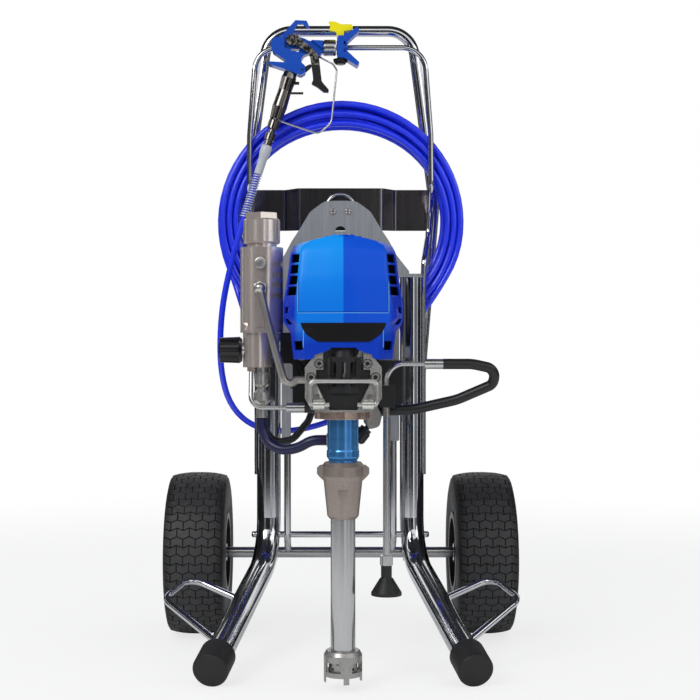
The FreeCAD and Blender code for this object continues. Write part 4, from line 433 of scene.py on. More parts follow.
chrome = metal("chrome", (0.6, 0.61, 0.64), (0.74, 0.75, 0.77), (0.05, 0.1), 30.0, depth=0.000005)
steel = metal("steel", (0.42, 0.42, 0.43), (0.6, 0.6, 0.61), (0.16, 0.26), 180.0, (1, 1, 0.05))
zinc = metal("zinc", (0.48, 0.475, 0.455), (0.74, 0.73, 0.7), (0.2, 0.34), 90.0, share=0.85)
gunmetal = metal("gunmetal", (0.36, 0.345, 0.325), (0.5, 0.48, 0.45), (0.26, 0.34), 160.0,
                 (1, 1, 0.1), share=0.8)
grip_metal = metal("grip_metal", (0.13, 0.12, 0.11), (0.3, 0.285, 0.265), (0.1, 0.2), 24.0,
                   (1, 1, 0.2), 0.0004)
screw_metal = metal("screw_metal", (0.56, 0.53, 0.5), (0.86, 0.83, 0.79), (0.16, 0.26), 300.0,
                    share=0.85)
tube_steel = metal("tube_steel", (0.5, 0.5, 0.5), (0.68, 0.68, 0.68), (0.16, 0.22), 800.0,
                   (1, 1, 0.02), 0.00002, 0.92)
gear_steel = metal("gear_steel", (0.3, 0.3, 0.31), (0.45, 0.45, 0.46), (0.25, 0.4), 120.0)
spring_steel = metal("spring_steel", (0.6, 0.66, 0.78), (0.82, 0.86, 0.95), (0.2, 0.3), 200.0,
                     share=0.6)
band_mirror = metal("band_mirror", (0.17, 0.16, 0.165), (0.27, 0.255, 0.265), (0.17, 0.22), 200.0,
                    (1, 1, 0.02), 0.00001)
plate_steel = metal("plate_steel", (0.23, 0.24, 0.26), (0.44, 0.455, 0.49), (0.34, 0.44), 420.0,
                    (1, 1, 0.04), 0.00003, 0.4)
print("metals:", [m.name for m in bpy.data.materials])

# %% [markdown]
# ## Castings
# The housings and the pump's foot are cast and then plated. A casting shows the sand or the die: a
# fine pitted skin, darker in the pits, where dirt stays and where the colour also carries painted
# shade. Two sizes of noise make it, and the bump follows the finer one.

# %% Cast finishes
PIT_EDGES = (0.25, 0.5)


def casting(name, dark, light, rough, depth=0.0001, scale=900.0, share=0.8):
    """Plated casting with a pitted skin, darker in its pits with dirt and painted shade."""
    def varying(shade):
        pits = spot(shade, scale, detail=4.0)
        cloud = spot(shade, 22.0)
        # darker where the bump's pits lie low: dirt and painted shade
        body = tint(shade, step(shade, pits, *PIT_EDGES), dark, light)
        worn = tint(shade, cloud * 0.2, body, dark)
        return {"Base Color": worn, "Roughness": cloud * 0.12 + rough, "Relief": pits}
    return finish(name, varying, depth, Metallic=share)


cast_nickel = casting("cast_nickel", (0.5, 0.49, 0.465), (0.84, 0.82, 0.78), 0.14, 0.00014,
                      share=0.75)
gear_cast = casting("gear_cast", (0.012, 0.012, 0.014), (0.03, 0.03, 0.033), 0.4)
warm_nickel = metal("warm_nickel", (0.74, 0.645, 0.595), (0.92, 0.82, 0.765), (0.2, 0.25), 900.0,
                    (1, 1, 0.02), 0.00002, 0.74)
intake_cast = casting("intake_cast", (0.26, 0.21, 0.185), (0.42, 0.355, 0.32), 0.32, 0.00012)
nut_bronze = casting("nut_bronze", (0.3, 0.22, 0.18), (0.55, 0.42, 0.36), 0.22)
screen_metal = casting("screen_metal", (0.2, 0.2, 0.19), (0.48, 0.47, 0.45), 0.3)
print("castings:", len(bpy.data.materials), "materials so far")

# %% [markdown]
# ## Plastics, rubber and paint
# Moulded plastic takes a fine tooth from its mould, which breaks up the highlight, and its
# colour is almost even. Rubber and paint differ from it only in shade, gloss and how coarse the
# tooth is, so the same recipe makes them too.

# %% Plastic finishes
def plastic(name, dark, light, rough, scale=900.0, depth=0.00006, **fixed):
    """Moulded plastic or rubber, with its mould's tooth and a slow change of shade."""
    def varying(shade):
        tooth = spot(shade, scale)
        cloud = spot(shade, 14.0)
        return {"Base Color": tint(shade, cloud, dark, light),
                "Roughness": tooth * 0.12 + rough, "Relief": tooth}
    return finish(name, varying, depth, **fixed)


cap_rubber = plastic("cap_rubber", (0.008, 0.008, 0.009), (0.016, 0.016, 0.017), 0.5, 500.0, 0.0002)
black_plastic = plastic("black_plastic", (0.008, 0.0085, 0.009), (0.016, 0.0165, 0.018), 0.36)
black_gloss = plastic("black_gloss", (0.006, 0.006, 0.007), (0.012, 0.012, 0.013), 0.16)
black_hose = plastic("black_hose", (0.009, 0.009, 0.01), (0.017, 0.017, 0.018), 0.34, 700.0, 0.0001)
navy_hose_look = plastic("navy_hose", (0.006, 0.007, 0.045), (0.012, 0.012, 0.075), 0.3, 700.0)
gun_blue = plastic("gun_blue", (0.0, 0.05, 0.4), (0.001, 0.085, 0.53), 0.2, Specular_IOR_Level=0.4)
clear_sleeve = plastic("clear_sleeve", (0.42, 0.44, 0.48), (0.62, 0.64, 0.68), 0.22, 400.0)
panel_black = plastic("panel_black", (0.006, 0.006, 0.007), (0.01, 0.01, 0.011), 0.45,
                      Specular_IOR_Level=0.15)
packing = plastic("packing", (0.5, 0.44, 0.3), (0.62, 0.56, 0.42), 0.5)
motor_paint = plastic("motor_paint", (0.02, 0.02, 0.022), (0.035, 0.035, 0.038), 0.45)
filter_mesh = plastic("filter_mesh", (0.3, 0.3, 0.28), (0.4, 0.4, 0.38), 0.5, 1500.0, 0.0003)
rim_paint = plastic("rim_paint", (0.01, 0.01, 0.011), (0.02, 0.02, 0.022), 0.3)
print("plastics:", len(bpy.data.materials), "materials so far")

# %% [markdown]
# ## Tyre rubber
# The faces of the tread's blocks are paler and scuffed by the ground, and the grooves between them
# are painted black as shade. The distance from the axle tells the two apart, so the finish needs no
# image.

# %% Tyre finish
GROOVE_TO_FACE = (0.1345, 0.1375)


def tyre_colour(shade):
    """Paler, scuffed rubber on the blocks' faces, and painted shade, black, in the grooves."""
    low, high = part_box("tyre_left")
    axle_y, axle_z = ((low[i] + high[i]) / 2.0 for i in (1, 2))
    arm = shade.add("CombineXYZ", {}, {0: 0.0, 1: along(shade, "Y") - axle_y,
                                       2: along(shade, "Z") - axle_z})
    radius = shade.add("VectorMath", {"operation": "LENGTH"}, {0: arm}, out="Value")
    # 1 on the blocks' faces and 0 in the grooves, which are painted black as shade
    worn = step(shade, radius, *GROOVE_TO_FACE)
    scuff = spot(shade, 45.0, detail=4.0)
    block = tint(shade, scuff, (0.02, 0.02, 0.021), (0.052, 0.052, 0.054))
    return {"Base Color": tint(shade, worn, (0.012, 0.012, 0.013), block),
            "Roughness": scuff * 0.2 + 0.45, "Relief": spot(shade, 260.0)}


tyre_rubber = finish("tyre_rubber", tyre_colour, 0.0004)
print("grooves are black below a radius of", GROOVE_TO_FACE[0], "m")

# %% [markdown]
# ## Blue hose, anodised sleeve, and two pieces of two materials
# The hose's cover is a clear, hard skin over deep blue, so it has a coat of its own gloss. The
# pump sleeve is dyed metal: blue, but still a metal, with fine turning marks round it. The spray
# tip and the trigger each show two materials, and a height tells these apart.

# %% Blue and two-part finishes
TIP_BLACK_TOP = 1.0045
TRIGGER_JOIN = (0.983, 0.9835)


def hose_skin(shade):
    """Deep blue, a little cloudy, with a fine tooth."""
    cloud = spot(shade, 30.0)
    tooth = spot(shade, 600.0)
    return {"Base Color": tint(shade, cloud, (0.008, 0.028, 0.8), (0.02, 0.05, 0.98)),
            "Roughness": tooth * 0.1 + 0.2, "Relief": tooth + cloud}


def anodised(shade):
    """Dyed metal with marks drawn out round the sleeve."""
    turned = spot(shade, 500.0, (0.02, 0.02, 1))
    return {"Base Color": tint(shade, turned, (0.07, 0.3, 0.74), (0.14, 0.46, 0.98)),
            "Roughness": turned * 0.1 + 0.2, "Relief": turned}


def tip_colour(shade):
    """The tip's handle is yellow, and the end below its barrel is black."""
    upper = along(shade, "Z") > TIP_BLACK_TOP
    cloud = spot(shade, 30.0)
    yellow = tint(shade, cloud, (0.86, 0.74, 0.0), (0.95, 0.85, 0.003))
    return {"Base Color": tint(shade, upper, (0.012, 0.012, 0.013), yellow),
            "Roughness": cloud * 0.1 + 0.3}


def trigger_colour(shade):
    """Plated arm and pivot above, with a moulded black grip on the lower half."""
    arm = step(shade, along(shade, "Z"), *TRIGGER_JOIN)
    grain = spot(shade, 260.0, detail=3.0)
    plate = tint(shade, step(shade, grain, 0.42, 0.64), (0.02, 0.019, 0.018), (0.3, 0.28, 0.26))
    return {"Base Color": tint(shade, arm, (0.008, 0.008, 0.009), plate), "Metallic": arm * 0.9,
            "Roughness": grain * 0.15 + 0.24, "Relief": grain}


yellow_plastic = finish("yellow_plastic", tip_colour, Specular_IOR_Level=0.3)
trigger_look = finish("trigger_look", trigger_colour, 0.0001)
blue_hose = finish("blue_hose", hose_skin, 0.00008, Coat_Weight=0.5, Coat_Roughness=0.12)
blue_anodised = finish("blue_anodised", anodised, 0.00003, Metallic=0.85)
hose.data.materials.append(blue_hose)
print("finished:", [m.name for m in (yellow_plastic, trigger_look, blue_hose, blue_anodised)])

# %% [markdown]
# ## Dressing the CAD nodes
# The CAD model gives every node plain material slots. Only what stands in a slot is exchanged
# here, and the meshes stay as they are. One table is easier to check than a line for each node,
# and the last line prints the nodes that aren't in it.

# %% Which CAD node has which finish
LOOKS = (
    (chrome, "frame_tube_left", "frame_tube_right", "foot_loops", "handle", "hose_rack",
     "frame_rods", "lift_ring"),
    (cap_rubber, "leg_caps"),
    (steel, "axle", "con_rod", "piston_rod"),
    (zinc, "frame_brackets", "hose_fittings", "bail"),
    (screw_metal, "cap_screws"),
    (tyre_rubber, "tyre_left", "tyre_right"),
    (rim_paint, "rim_left", "rim_right"),
    (plate_steel, "mounting_plate"),
    (band_mirror, "band_bracket"),
    (motor_paint, "motor_can"),
    (gear_steel, "armature", "idler_gear", "crank_gear"),
    (cast_nickel, "bearing_housing"),
    (grip_metal, "gun_grip"),
    (gear_cast, "gearbox"),
    (warm_nickel, "manifold", "filter_cap"),
    (nut_bronze, "jam_nut"),
    (intake_cast, "intake_nut"),
    (blue_anodised, "pump_sleeve"),
    (tube_steel, "intake_tube", "drain_tubes", "wire_guard"),
    (screen_metal, "strainer"),
    (gunmetal, "crossover_tube"),
    (gun_blue, "front_cover", "gun_body", "tip_guard"),
    (black_plastic, "pump_door", "control_box", "power_switch", "tube_clip", "drain_deflector",
     "trigger_lock", "prime_knob"),
    (black_gloss, "pressure_knob"),
    (trigger_look, "gun_trigger"),
    (black_hose, "drain_hose", "control_lead"),
    (navy_hose_look, "navy_hose"),
    (yellow_plastic, "tip_handle"),
    (spring_steel, "spring_guard"),
    (packing, "pump_packings"),
    (filter_mesh, "filter_element"),
)
for look, *names in LOOKS:
    for name in names:
        for material_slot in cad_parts[name].material_slots:
            material_slot.material = look
dressed = {name for _, *names in LOOKS for name in names}
print("nodes without a finish:", sorted(set(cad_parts) - dressed))

# %% [markdown]
# ## The front cover
# The cover is a moulded hood: one thin skin that wraps the drive, open behind and below. It could
# be cut from a solid, but a sheet is closer to how it is moulded. So a flat grid is bent over a
# few sections, its faces are left out where the vents are, and a modifier gives it thickness.

# %% Cover sections
# height, half width, half width of the front panel, front Y, how far the middle stands out
COVER = ((480.5, 72, 52, -289.2, 4), (520.5, 76.7, 55, -291.8, 4),
         (532.5, 85.8, 62, -291.8, 5), (535.5, 86.8, 72, -294.2, 9),
         (543, 87.2, 75, -294.8, 11), (559.5, 87.2, 70, -294.5, 9),
         (572, 85.4, 65, -293.8, 8), (597, 81.3, 63, -291.3, 8),
         (635.9, 77, 60, -283.8, 8), (645.5, 72, 56, -279.6, 8),
         (651.6, 58.5, 46, -276.8, 7.5), (654.9, 45, 35, -275.2, 6.5),
         (657.6, 31.5, 24, -273.7, 5), (659.2, 19, 14, -272.7, 3.5),
         (659.9, 9, 7, -272.2, 1.5), (660.1, 2, 1.5, -272, 0.5))
COVER_REAR = -61.0
COVER_CHEEK = 29.5
PANEL_CORNER, CHEEK_CORNER = 4.5, 5.0
CORNER_POINTS = 5
PANEL_SHARES = (0.0, 0.352, 0.36, 0.56, 0.78, 0.8)
CHEEK_SHARES = (0.14, 0.24, 0.48, 0.82)
SIDE_DEPTHS = (-236.0, -190.0, -143.0, -96.0)


def between(table, key):
    """The table's other numbers at this key, on a straight line between its rows."""
    rows = [row for row in table if row[0] < key] or [table[0]]
    index = min(len(rows) - 1, len(table) - 2)
    low, high = table[index], table[index + 1]
    share = min(max((key - low[0]) / (high[0] - low[0]), 0.0), 1.0)
    return [a + (b - a) * share for a, b in zip(low[1:], high[1:])]


def eased(before, corner, after, ease):
    """The few points that round a corner of an outline."""
    start = corner + (before - corner) * min(ease / (before - corner).length, 0.5)
    end = corner + (after - corner) * min(ease / (after - corner).length, 0.5)
    steps = [i / (CORNER_POINTS - 1) for i in range(CORNER_POINTS)]
    return [start.lerp(corner, t).lerp(corner.lerp(end, t), t) for t in steps]


def cover_section(z):
    """Half the cover's outline at a height, from the middle to the rear edge."""
    side, panel, front, stand = between(COVER, z)
    middle = Vector((0.0, front))
    edge = Vector((panel, front + stand))
    cheek = Vector((side, front + stand + COVER_CHEEK))
    rear = Vector((side, COVER_REAR))
    line = [middle.lerp(edge, share) for share in PANEL_SHARES]
    line += eased(middle, edge, cheek, PANEL_CORNER)
    line += [edge.lerp(cheek, share) for share in CHEEK_SHARES]
    line += eased(edge, cheek, rear, CHEEK_CORNER)
    return line + [Vector((side, depth)) for depth in (*SIDE_DEPTHS, COVER_REAR)]


def at_step(place, steps):
    """How many of a grid's steps lie before a place between -1 and 1."""
    return (place + 1.0) / 2.0 * steps


half_columns = len(cover_section(COVER[0][0])) - 1
print("cover: half a section has", half_columns, "faces")

# %% [markdown]
# ## The cover's skin and its vents
# The grid has one row of faces for each height below and one column for each point of a section,
# so a vent is only a few faces that are deleted. A vent could be cut with a Boolean, but that
# leaves long thin faces on a curved skin. The heights are close where the form turns quickly.

# %% Cover skin
COVER_BOTTOM = 480.5
VENT_ROWS = [572.5 + 15.8 * i for i in range(4)]
VENT_SPLIT, VENT_TOP = 7.7, 12.8
heights = [COVER_BOTTOM, 484, 488, 494, 500.5, 507, 513, 519, 524, 527.5, 530.5, 534, 539, 543,
           547, 551.5, 556, 561, 566, 569.5]
for low in VENT_ROWS:
    heights += [low, low + VENT_SPLIT, low + VENT_TOP]
heights += [637, 641.5, 645.5, 648.5, 650.2, 651.6, 653.4, 654.9, 656.3, 657.6, 658.5, 659.2, 659.9,
            660.1]
SQUARE_ROWS, HOLE_ROWS = (494.0, 500.5), (530.5, 534.0, 547.0, 551.5)
# the notch in the lower edge: distance from the middle, height; it has faded out at NOTCH_FADE
LOWER_EDGE = ((0.0, 497.5), (18.5, 497.5), (18.9, 493.0), (41.0, 487.5), (42.0, COVER_BOTTOM),
              (300.0, COVER_BOTTOM))
NOTCH_FADE = 500.5


def is_open(column, height):
    """Whether the face right of this column and above this height is a vent."""
    first_cheek = len(PANEL_SHARES) + CORNER_POINTS - 1
    side = first_cheek + len(CHEEK_SHARES) + CORNER_POINTS + 1
    if any(abs(height - low - lift) < 0.1 for low in VENT_ROWS for lift in (0.0, VENT_SPLIT)):
        if first_cheek < column <= first_cheek + 3:
            return True
    if any(abs(height - low) < 0.1 for low in VENT_ROWS) and side <= column < side + 3:
        return True
    if height in SQUARE_ROWS and first_cheek + 1 < column <= first_cheek + 3:
        return True
    return height in HOLE_ROWS and column == first_cheek + 3


skin = bmesh.new()
bmesh.ops.create_grid(skin, x_segments=2 * half_columns, y_segments=len(heights) - 1, size=1.0)
openings = []
for face in skin.faces:
    place = face.calc_center_median()
    column = abs(place.x) * half_columns
    row = at_step(place.y, len(heights) - 1)
    if is_open(math.floor(column), heights[math.floor(row)]):
        openings.append(face)
for point in skin.verts:
    column = round(abs(point.co.x) * half_columns)
    z = heights[round(at_step(point.co.y, len(heights) - 1))]
    flat = cover_section(z)[column]
    rise = between(LOWER_EDGE, flat.x)[0]
    up = (z - COVER_BOTTOM) / (NOTCH_FADE - COVER_BOTTOM)
    lifted = z if z >= NOTCH_FADE else rise + up * (NOTCH_FADE - rise)
    flat = cover_section(lifted)[column]
    closed = 0.0 if z == heights[-1] else 1.0
    point.co = (math.copysign(flat.x, point.co.x) * closed * MM, flat.y * MM, lifted * MM)
bmesh.ops.delete(skin, geom=openings, context="FACES")
bmesh.ops.remove_doubles(skin, verts=skin.verts, dist=0.00002)
bmesh.ops.recalc_face_normals(skin, faces=skin.faces)
skin.faces.ensure_lookup_table()
if min(skin.faces, key=lambda face: face.calc_center_median().y).normal.y > 0.0:
    bmesh.ops.reverse_faces(skin, faces=skin.faces)
print("cover skin:", len(skin.faces), "faces,", len(openings), "left open")

# %% [markdown]
# ## The cover's finish and thickness
# A crease runs down the middle of the front, and the two sides of it take the light differently:
# the colour carries this as a painted highlight left of the crease and painted shade right of it,
# with painted shade on the cheeks and at the foot. Fine moulded lines frame the lower panel: a dark
# groove, and a painted highlight line beside it. They could be cut into the mesh, but they are less
# than a millimetre deep, so the finish draws them: a strip is where two comparisons both hold.

# %% Cover finish and thickness
COVER_WALL = 2.6
# where painted light and shade go over from one colour into another, and where the groove and the
# painted highlight lines are, in metres
CREASE, CHEEK_START = (-0.0006, 0.0006), (0.064, 0.072)
SHADED_FOOT, LIT_RISE = (0.5, 0.535), (0.55, 0.66)
GROOVE_WIDE, HIGHLIGHT_LINE_WIDE, CORNER_WIDE = (0.0635, 0.0645), (0.0645, 0.0655), (0.0566, 0.0578)
GROOVE_LEVEL, HIGHLIGHT_LINE_LEVEL = (0.5475, 0.5487), (0.5465, 0.5475)
PANEL_HEIGHTS, CORNER_HEIGHTS = (0.549, 0.591), (0.498, 0.5305)


def strip(value, low, high):
    """1 where the value lies between the two limits, and 0 elsewhere."""
    return (value > low) * (value < high)


def cover_colour(shade):
    """Painted highlight left of the crease, painted shade right of it, on cheeks and foot; the
    panel's lines.
    """
    x = along(shade, "X")
    z = along(shade, "Z")
    wide = shade.add("Math", {"operation": "ABSOLUTE"}, {0: x})
    cloud = spot(shade, 9.0, (1, 1, 1), 1.0)
    # painted highlight: left of the crease is lighter, and lighter still higher up
    left = tint(shade, step(shade, z, *LIT_RISE), (0.0, 0.19, 0.8), (0.0, 0.3, 0.92))
    # painted shade: right of the crease is deeper blue, with a random cloud
    right = tint(shade, cloud, (0.0, 0.07, 0.62), (0.0, 0.095, 0.72))
    body = tint(shade, step(shade, x, *CREASE), left, right)
    # painted shade: darker towards the cover's foot
    low = tint(shade, step(shade, z, *SHADED_FOOT), (0.0, 0.04, 0.5), body)
    # painted shade on the cheeks, which face away from the front
    plain = tint(shade, step(shade, wide, *CHEEK_START), low, (0.002, 0.03, 0.48))
    groove = strip(wide, *GROOVE_WIDE) * strip(z, *PANEL_HEIGHTS)
    groove = groove + (wide < GROOVE_WIDE[1]) * strip(z, *GROOVE_LEVEL)
    # painted highlight lines beside the groove and round the panel's lower corners; the groove
    # itself is a dark seam
    painted_edge_highlight = strip(wide, *HIGHLIGHT_LINE_WIDE) * strip(z, *PANEL_HEIGHTS)
    painted_edge_highlight = painted_edge_highlight + (wide < HIGHLIGHT_LINE_WIDE[1]) * strip(z, *HIGHLIGHT_LINE_LEVEL)
    painted_edge_highlight = painted_edge_highlight + strip(wide, *CORNER_WIDE) * strip(z, *CORNER_HEIGHTS)
    with_painted_highlight = tint(shade, painted_edge_highlight, plain, (0.12, 0.42, 0.95))
    return {"Base Color": tint(shade, groove, with_painted_highlight, (0.0, 0.02, 0.26)),
            "Roughness": cloud * 0.08 + 0.24, "Relief": spot(shade, 700.0) + groove * -0.8}


def smoothed(piece, sharp=None):
    """Smooth shading, except at edges that are sharper than this angle in degrees."""
    for face in piece.data.polygons:
        face.use_smooth = True
    if sharp is not None:
        piece.data.set_sharp_from_angle(angle=math.radians(sharp))


def rounded(piece, width, sharp, harden=False):
    """A bevel in millimetres along the edges that are sharper than this angle in degrees."""
    soft = piece.modifiers.new("soft", "BEVEL")
    soft.width = width * MM
    soft.segments = 2
    soft.limit_method = "ANGLE"
    soft.angle_limit = math.radians(sharp)
    soft.harden_normals = harden


cover_blue = finish("cover_blue", cover_colour, 0.00006, Specular_IOR_Level=0.22)
cover = from_bmesh("cover", skin, cover_blue)
wall = cover.modifiers.new("wall", "SOLIDIFY")
wall.thickness = COVER_WALL * MM
wall.offset = -1.0
rounded(cover, 0.5, 50)
smoothed(cover)
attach(cover, "cart")
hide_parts("front_cover")
print("cover:", len(cover.data.polygons), "faces before its thickness")

# %% [markdown]
# ## Black panel under the bulge
# A matt black panel fills the recess under the cover's bulge. It could share the cover's mesh with
# a second material, but a piece of its own has a clean edge. Its grid takes its depth from the
# cover's own sections, a little in front of them, and falls away beyond the panel's edge.

# %% Black panel under the bulge
# height, half width
PANEL = ((505.6, 36.5), (511.0, 45.3), (516.8, 53.6), (525.0, 58.6), (532.6, 61.0))
PANEL_AHEAD = 0.9
PANEL_FALL = 1.6
panel = bmesh.new()
bmesh.ops.create_grid(panel, x_segments=6, y_segments=len(PANEL) - 1, size=1.0)
for point in panel.verts:
    z, half = PANEL[round(at_step(point.co.y, len(PANEL) - 1))]
    edge, front, stand = between(COVER, z)[1:]
    share = min(abs(point.co.x) * half / edge, 1.0)
    beyond = max(abs(point.co.x) * half - edge, 0.0)
    depth = front + stand * share + beyond * PANEL_FALL - PANEL_AHEAD
    point.co = (point.co.x * half * MM, depth * MM, z * MM)
bmesh.ops.recalc_face_normals(panel, faces=panel.faces)
bmesh.ops.solidify(panel, geom=panel.faces, thickness=0.5 * MM)
black_panel = from_bmesh("black_panel", panel, panel_black)
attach(black_panel, "cart")
print("black panel:", len(black_panel.data.polygons), "faces")

# %% [markdown]
# ## Painted shade behind the vents
# Through the vents, the inside of a real machine lies in shade. A thin black wall across the
# cover's inside paints that shade: it is a dark sheet where there is only shade. A box would hide
# the drive from behind, so it is a flat grid, a little inside the cover's outline, that is left out
# where the gear housing passes and ends below the cover's rounded top.

# %% Black sheet of painted shade behind the vents
SHADE_SHEET_MIDDLE, SHADE_SHEET_REACH, SHADE_SHEET_TOP = 570.0, 86.0, 637.0
SHADE_SHEET_Y = -238.0
SHADE_SHEET_INSIDE = 3.4
# half the gap for the gear housing, below and above its shoulder
GAP_LOW, GAP_HIGH, SHOULDER = 57.5, 50.0, 566.0
shade_sheet = bmesh.new()
bmesh.ops.create_grid(shade_sheet, x_segments=4, y_segments=14, size=1.0)
unwanted = []
# the top row is squeezed flat, and the gear housing passes through the middle below
for face in shade_sheet.faces:
    place = face.calc_center_median()
    if place.y > 0.9 or (place.y < -0.1 and abs(place.x) < 0.5):
        unwanted.append(face)
for point in shade_sheet.verts:
    z = min(SHADE_SHEET_MIDDLE + point.co.y * SHADE_SHEET_REACH, SHADE_SHEET_TOP)
    half = between(COVER, z)[0] - SHADE_SHEET_INSIDE
    gap = GAP_LOW if z < SHOULDER else GAP_HIGH
    share = (0.0, gap / half, 1.0)[round(abs(point.co.x) * 2.0)]
    point.co = (math.copysign(share * half, point.co.x) * MM, SHADE_SHEET_Y * MM, z * MM)
bmesh.ops.delete(shade_sheet, geom=unwanted, context="FACES")
bmesh.ops.solidify(shade_sheet, geom=shade_sheet.faces, thickness=1.0 * MM)
vent_shade_sheet = from_bmesh("vent_shade_sheet", shade_sheet, panel_black)
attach(vent_shade_sheet, "cart")
print("baffle:", len(vent_shade_sheet.data.polygons), "faces")

# %% [markdown]
# ## Tyres
# Turf tyres have low blocks in a brick pattern, and every row's edge is a zigzag line, so the
# blocks look like small chevrons. A block could be copied round the wheel, but here the tread
# starts as a flat grid: alternate edges are dissolved to leave bricks, the grid is rolled up, and
# one inset raises all the blocks at once. The side walls are drawn down from the tread's edges.

# %% Tyre tread
TREAD_ROWS = 60
TREAD_HALF_STEPS = 9
TREAD_HALF = 46.5
TYRE_RADIUS = 137.6
CROWN_DROP = 5.6
BLOCK_HEIGHT = 2.2
BLOCK_INSET = 0.9
# how far a row's edge swings to either side, as a share of a row
ZIGZAG = 0.16


def crown(x):
    """The tread's radius without its blocks, lower towards the shoulders."""
    return TYRE_RADIUS - CROWN_DROP * (abs(x) / TREAD_HALF) ** 2.6


def tread():
    """The brick pattern rolled into a ring round X, with its blocks raised."""
    shape = bmesh.new()
    bmesh.ops.create_grid(shape, x_segments=TREAD_HALF_STEPS, y_segments=TREAD_ROWS, size=1.0)
    middles = []
    for edge in shape.edges:
        first, second = (v.co for v in edge.verts)
        if abs(first.x - second.x) < 0.001:
            column = round(at_step(first.x, TREAD_HALF_STEPS))
            row = math.floor(at_step((first.y + second.y) / 2.0, TREAD_ROWS))
            if 0 < column < TREAD_HALF_STEPS and (column + row) % 2:
                middles.append(edge)
    bmesh.ops.dissolve_edges(shape, edges=middles, use_verts=False)
    for point in shape.verts:
        column = round(at_step(point.co.x, TREAD_HALF_STEPS))
        row = at_step(point.co.y, TREAD_ROWS) + (ZIGZAG if column % 2 else -ZIGZAG)
        x = point.co.x * TREAD_HALF
        turn = 2.0 * math.pi * row / TREAD_ROWS
        point.co = Vector((x, crown(x) * math.cos(turn), crown(x) * math.sin(turn))) * MM
    bmesh.ops.remove_doubles(shape, verts=shape.verts, dist=0.0002)
    bmesh.ops.recalc_face_normals(shape, faces=shape.faces)
    if shape.faces[0].normal.dot(shape.faces[0].calc_center_median()) < 0.0:
        bmesh.ops.reverse_faces(shape, faces=shape.faces)
    bmesh.ops.inset_individual(shape, faces=shape.faces, thickness=BLOCK_INSET * MM,
                               depth=BLOCK_HEIGHT * MM, use_even_offset=True)
    return shape


print("tread:", TREAD_ROWS, "rows of", TREAD_HALF_STEPS, "half blocks")

# %% [markdown]
# ## Side walls
# A tyre's wall is round, so it could be spun from a profile, but its points would then not meet
# the tread's. So the tread's open edge is extruded instead, ring after ring, and each new ring is
# moved to its own radius. The walls bulge a little, and the last ring turns in over the rim.

# %% Side walls
# distance from the wheel's middle plane, radius
WALL = ((48.6, 130.5), (50.3, 123.0), (51.4, 110.0), (51.5, 96.0), (51.1, 87.0), (50.6, 84.5),
        (48.0, 76.0), (45.5, 70.3), (40.0, 69.8))
# faces farther out than this belong to the walls, which are smooth
TREAD_SIDE = 46.7


def tyre(name, middle, body):
    """A whole tyre on its wheel, its walls drawn down from the tread's two edges."""
    shape = tread()
    for sign in (-1.0, 1.0):
        ring = [edge for edge in shape.edges if edge.is_boundary
                and all(v.co.x * sign > 0.0 for v in edge.verts)]
        for x, radius in WALL:
            drawn = bmesh.ops.extrude_edge_only(shape, edges=ring)["geom"]
            ring = [item for item in drawn if isinstance(item, bmesh.types.BMEdge)]
            for point in {v for edge in ring for v in edge.verts}:
                across = Vector((0.0, point.co.y, point.co.z)).normalized() * radius * MM
                point.co = (sign * x * MM, across.y, across.z)
    bmesh.ops.recalc_face_normals(shape, faces=shape.faces)
    made = from_bmesh(name, shape, tyre_rubber)
    for face in made.data.polygons:
        face.use_smooth = abs(face.center.x) > TREAD_SIDE * MM
    made.data.transform(Matrix.Translation(middle))
    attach(made, body)
    return made


for side in ("left", "right"):
    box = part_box("tyre_" + side)
    middle = (Vector(box[0]) + Vector(box[1])) / 2.0
    made = tyre("turf_tyre_" + side, middle, "wheel_" + side)
    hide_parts("tyre_" + side)
    print(made.name, len(made.data.polygons), "faces, middle", tuple(middle))

# %% [markdown]
# ## Softened castings and mouldings
# A CAD solid has knife edges, and a real casting has none: its edges catch the light in a thin
# line. The form is right already, so these pieces start as copies of the CAD meshes. Each copy is
# merged and its flat faces are rejoined, and then a bevel modifier rounds whatever is sharp.

# %% Softened copies
FLAT_DEG, SHARP_DEG = 1.5, 18


def softened(node, name, look, body, width, keep=None):
    """A bevelled copy of a CAD node, or of the part of it that keep lets through."""
    shape = bmesh.new()
    shape.from_mesh(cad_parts[node].data)
    bmesh.ops.remove_doubles(shape, verts=shape.verts, dist=0.00001)
    if keep is not None:
        others = [point for point in shape.verts if not keep(point.co)]
        bmesh.ops.delete(shape, geom=others, context="VERTS")
    bmesh.ops.dissolve_limit(shape, angle_limit=math.radians(FLAT_DEG), verts=shape.verts,
                             edges=shape.edges)
    made = from_bmesh(name, shape, look)
    smoothed(made, SHARP_DEG)
    rounded(made, width, SHARP_DEG, harden=True)
    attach(made, body)
    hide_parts(node)
    return made


# CAD node, finish, body, slot, width of the bevel in millimetres
SOFT = (("bearing_housing", cast_nickel, "cart", "cast_nickel", 0.8),
        ("pump_door", black_plastic, "cart", "black_plastic", 0.7),
        ("intake_nut", intake_cast, "cart", "intake_cast", 0.8),
        ("jam_nut", nut_bronze, "cart", "warm_nickel", 0.8),
        ("control_box", black_plastic, "cart", "black_plastic", 1.5),
        ("gun_body", gun_blue, "cart", "blue_plastic", 0.9),
        ("gun_trigger", trigger_look, "trigger", "black_plastic", 0.7),
        ("tube_clip", black_plastic, "cart", "black_plastic", 0.8),
        ("cap_screws", screw_metal, "cart", "zinc", 0.9),
        ("tip_handle", yellow_plastic, "tip", "yellow_plastic", 0.6))
for node, look, body, slot_name, width in SOFT:
    made = softened(node, "soft_" + node, look, body, width)
    print(made.name, len(made.data.polygons), "faces")

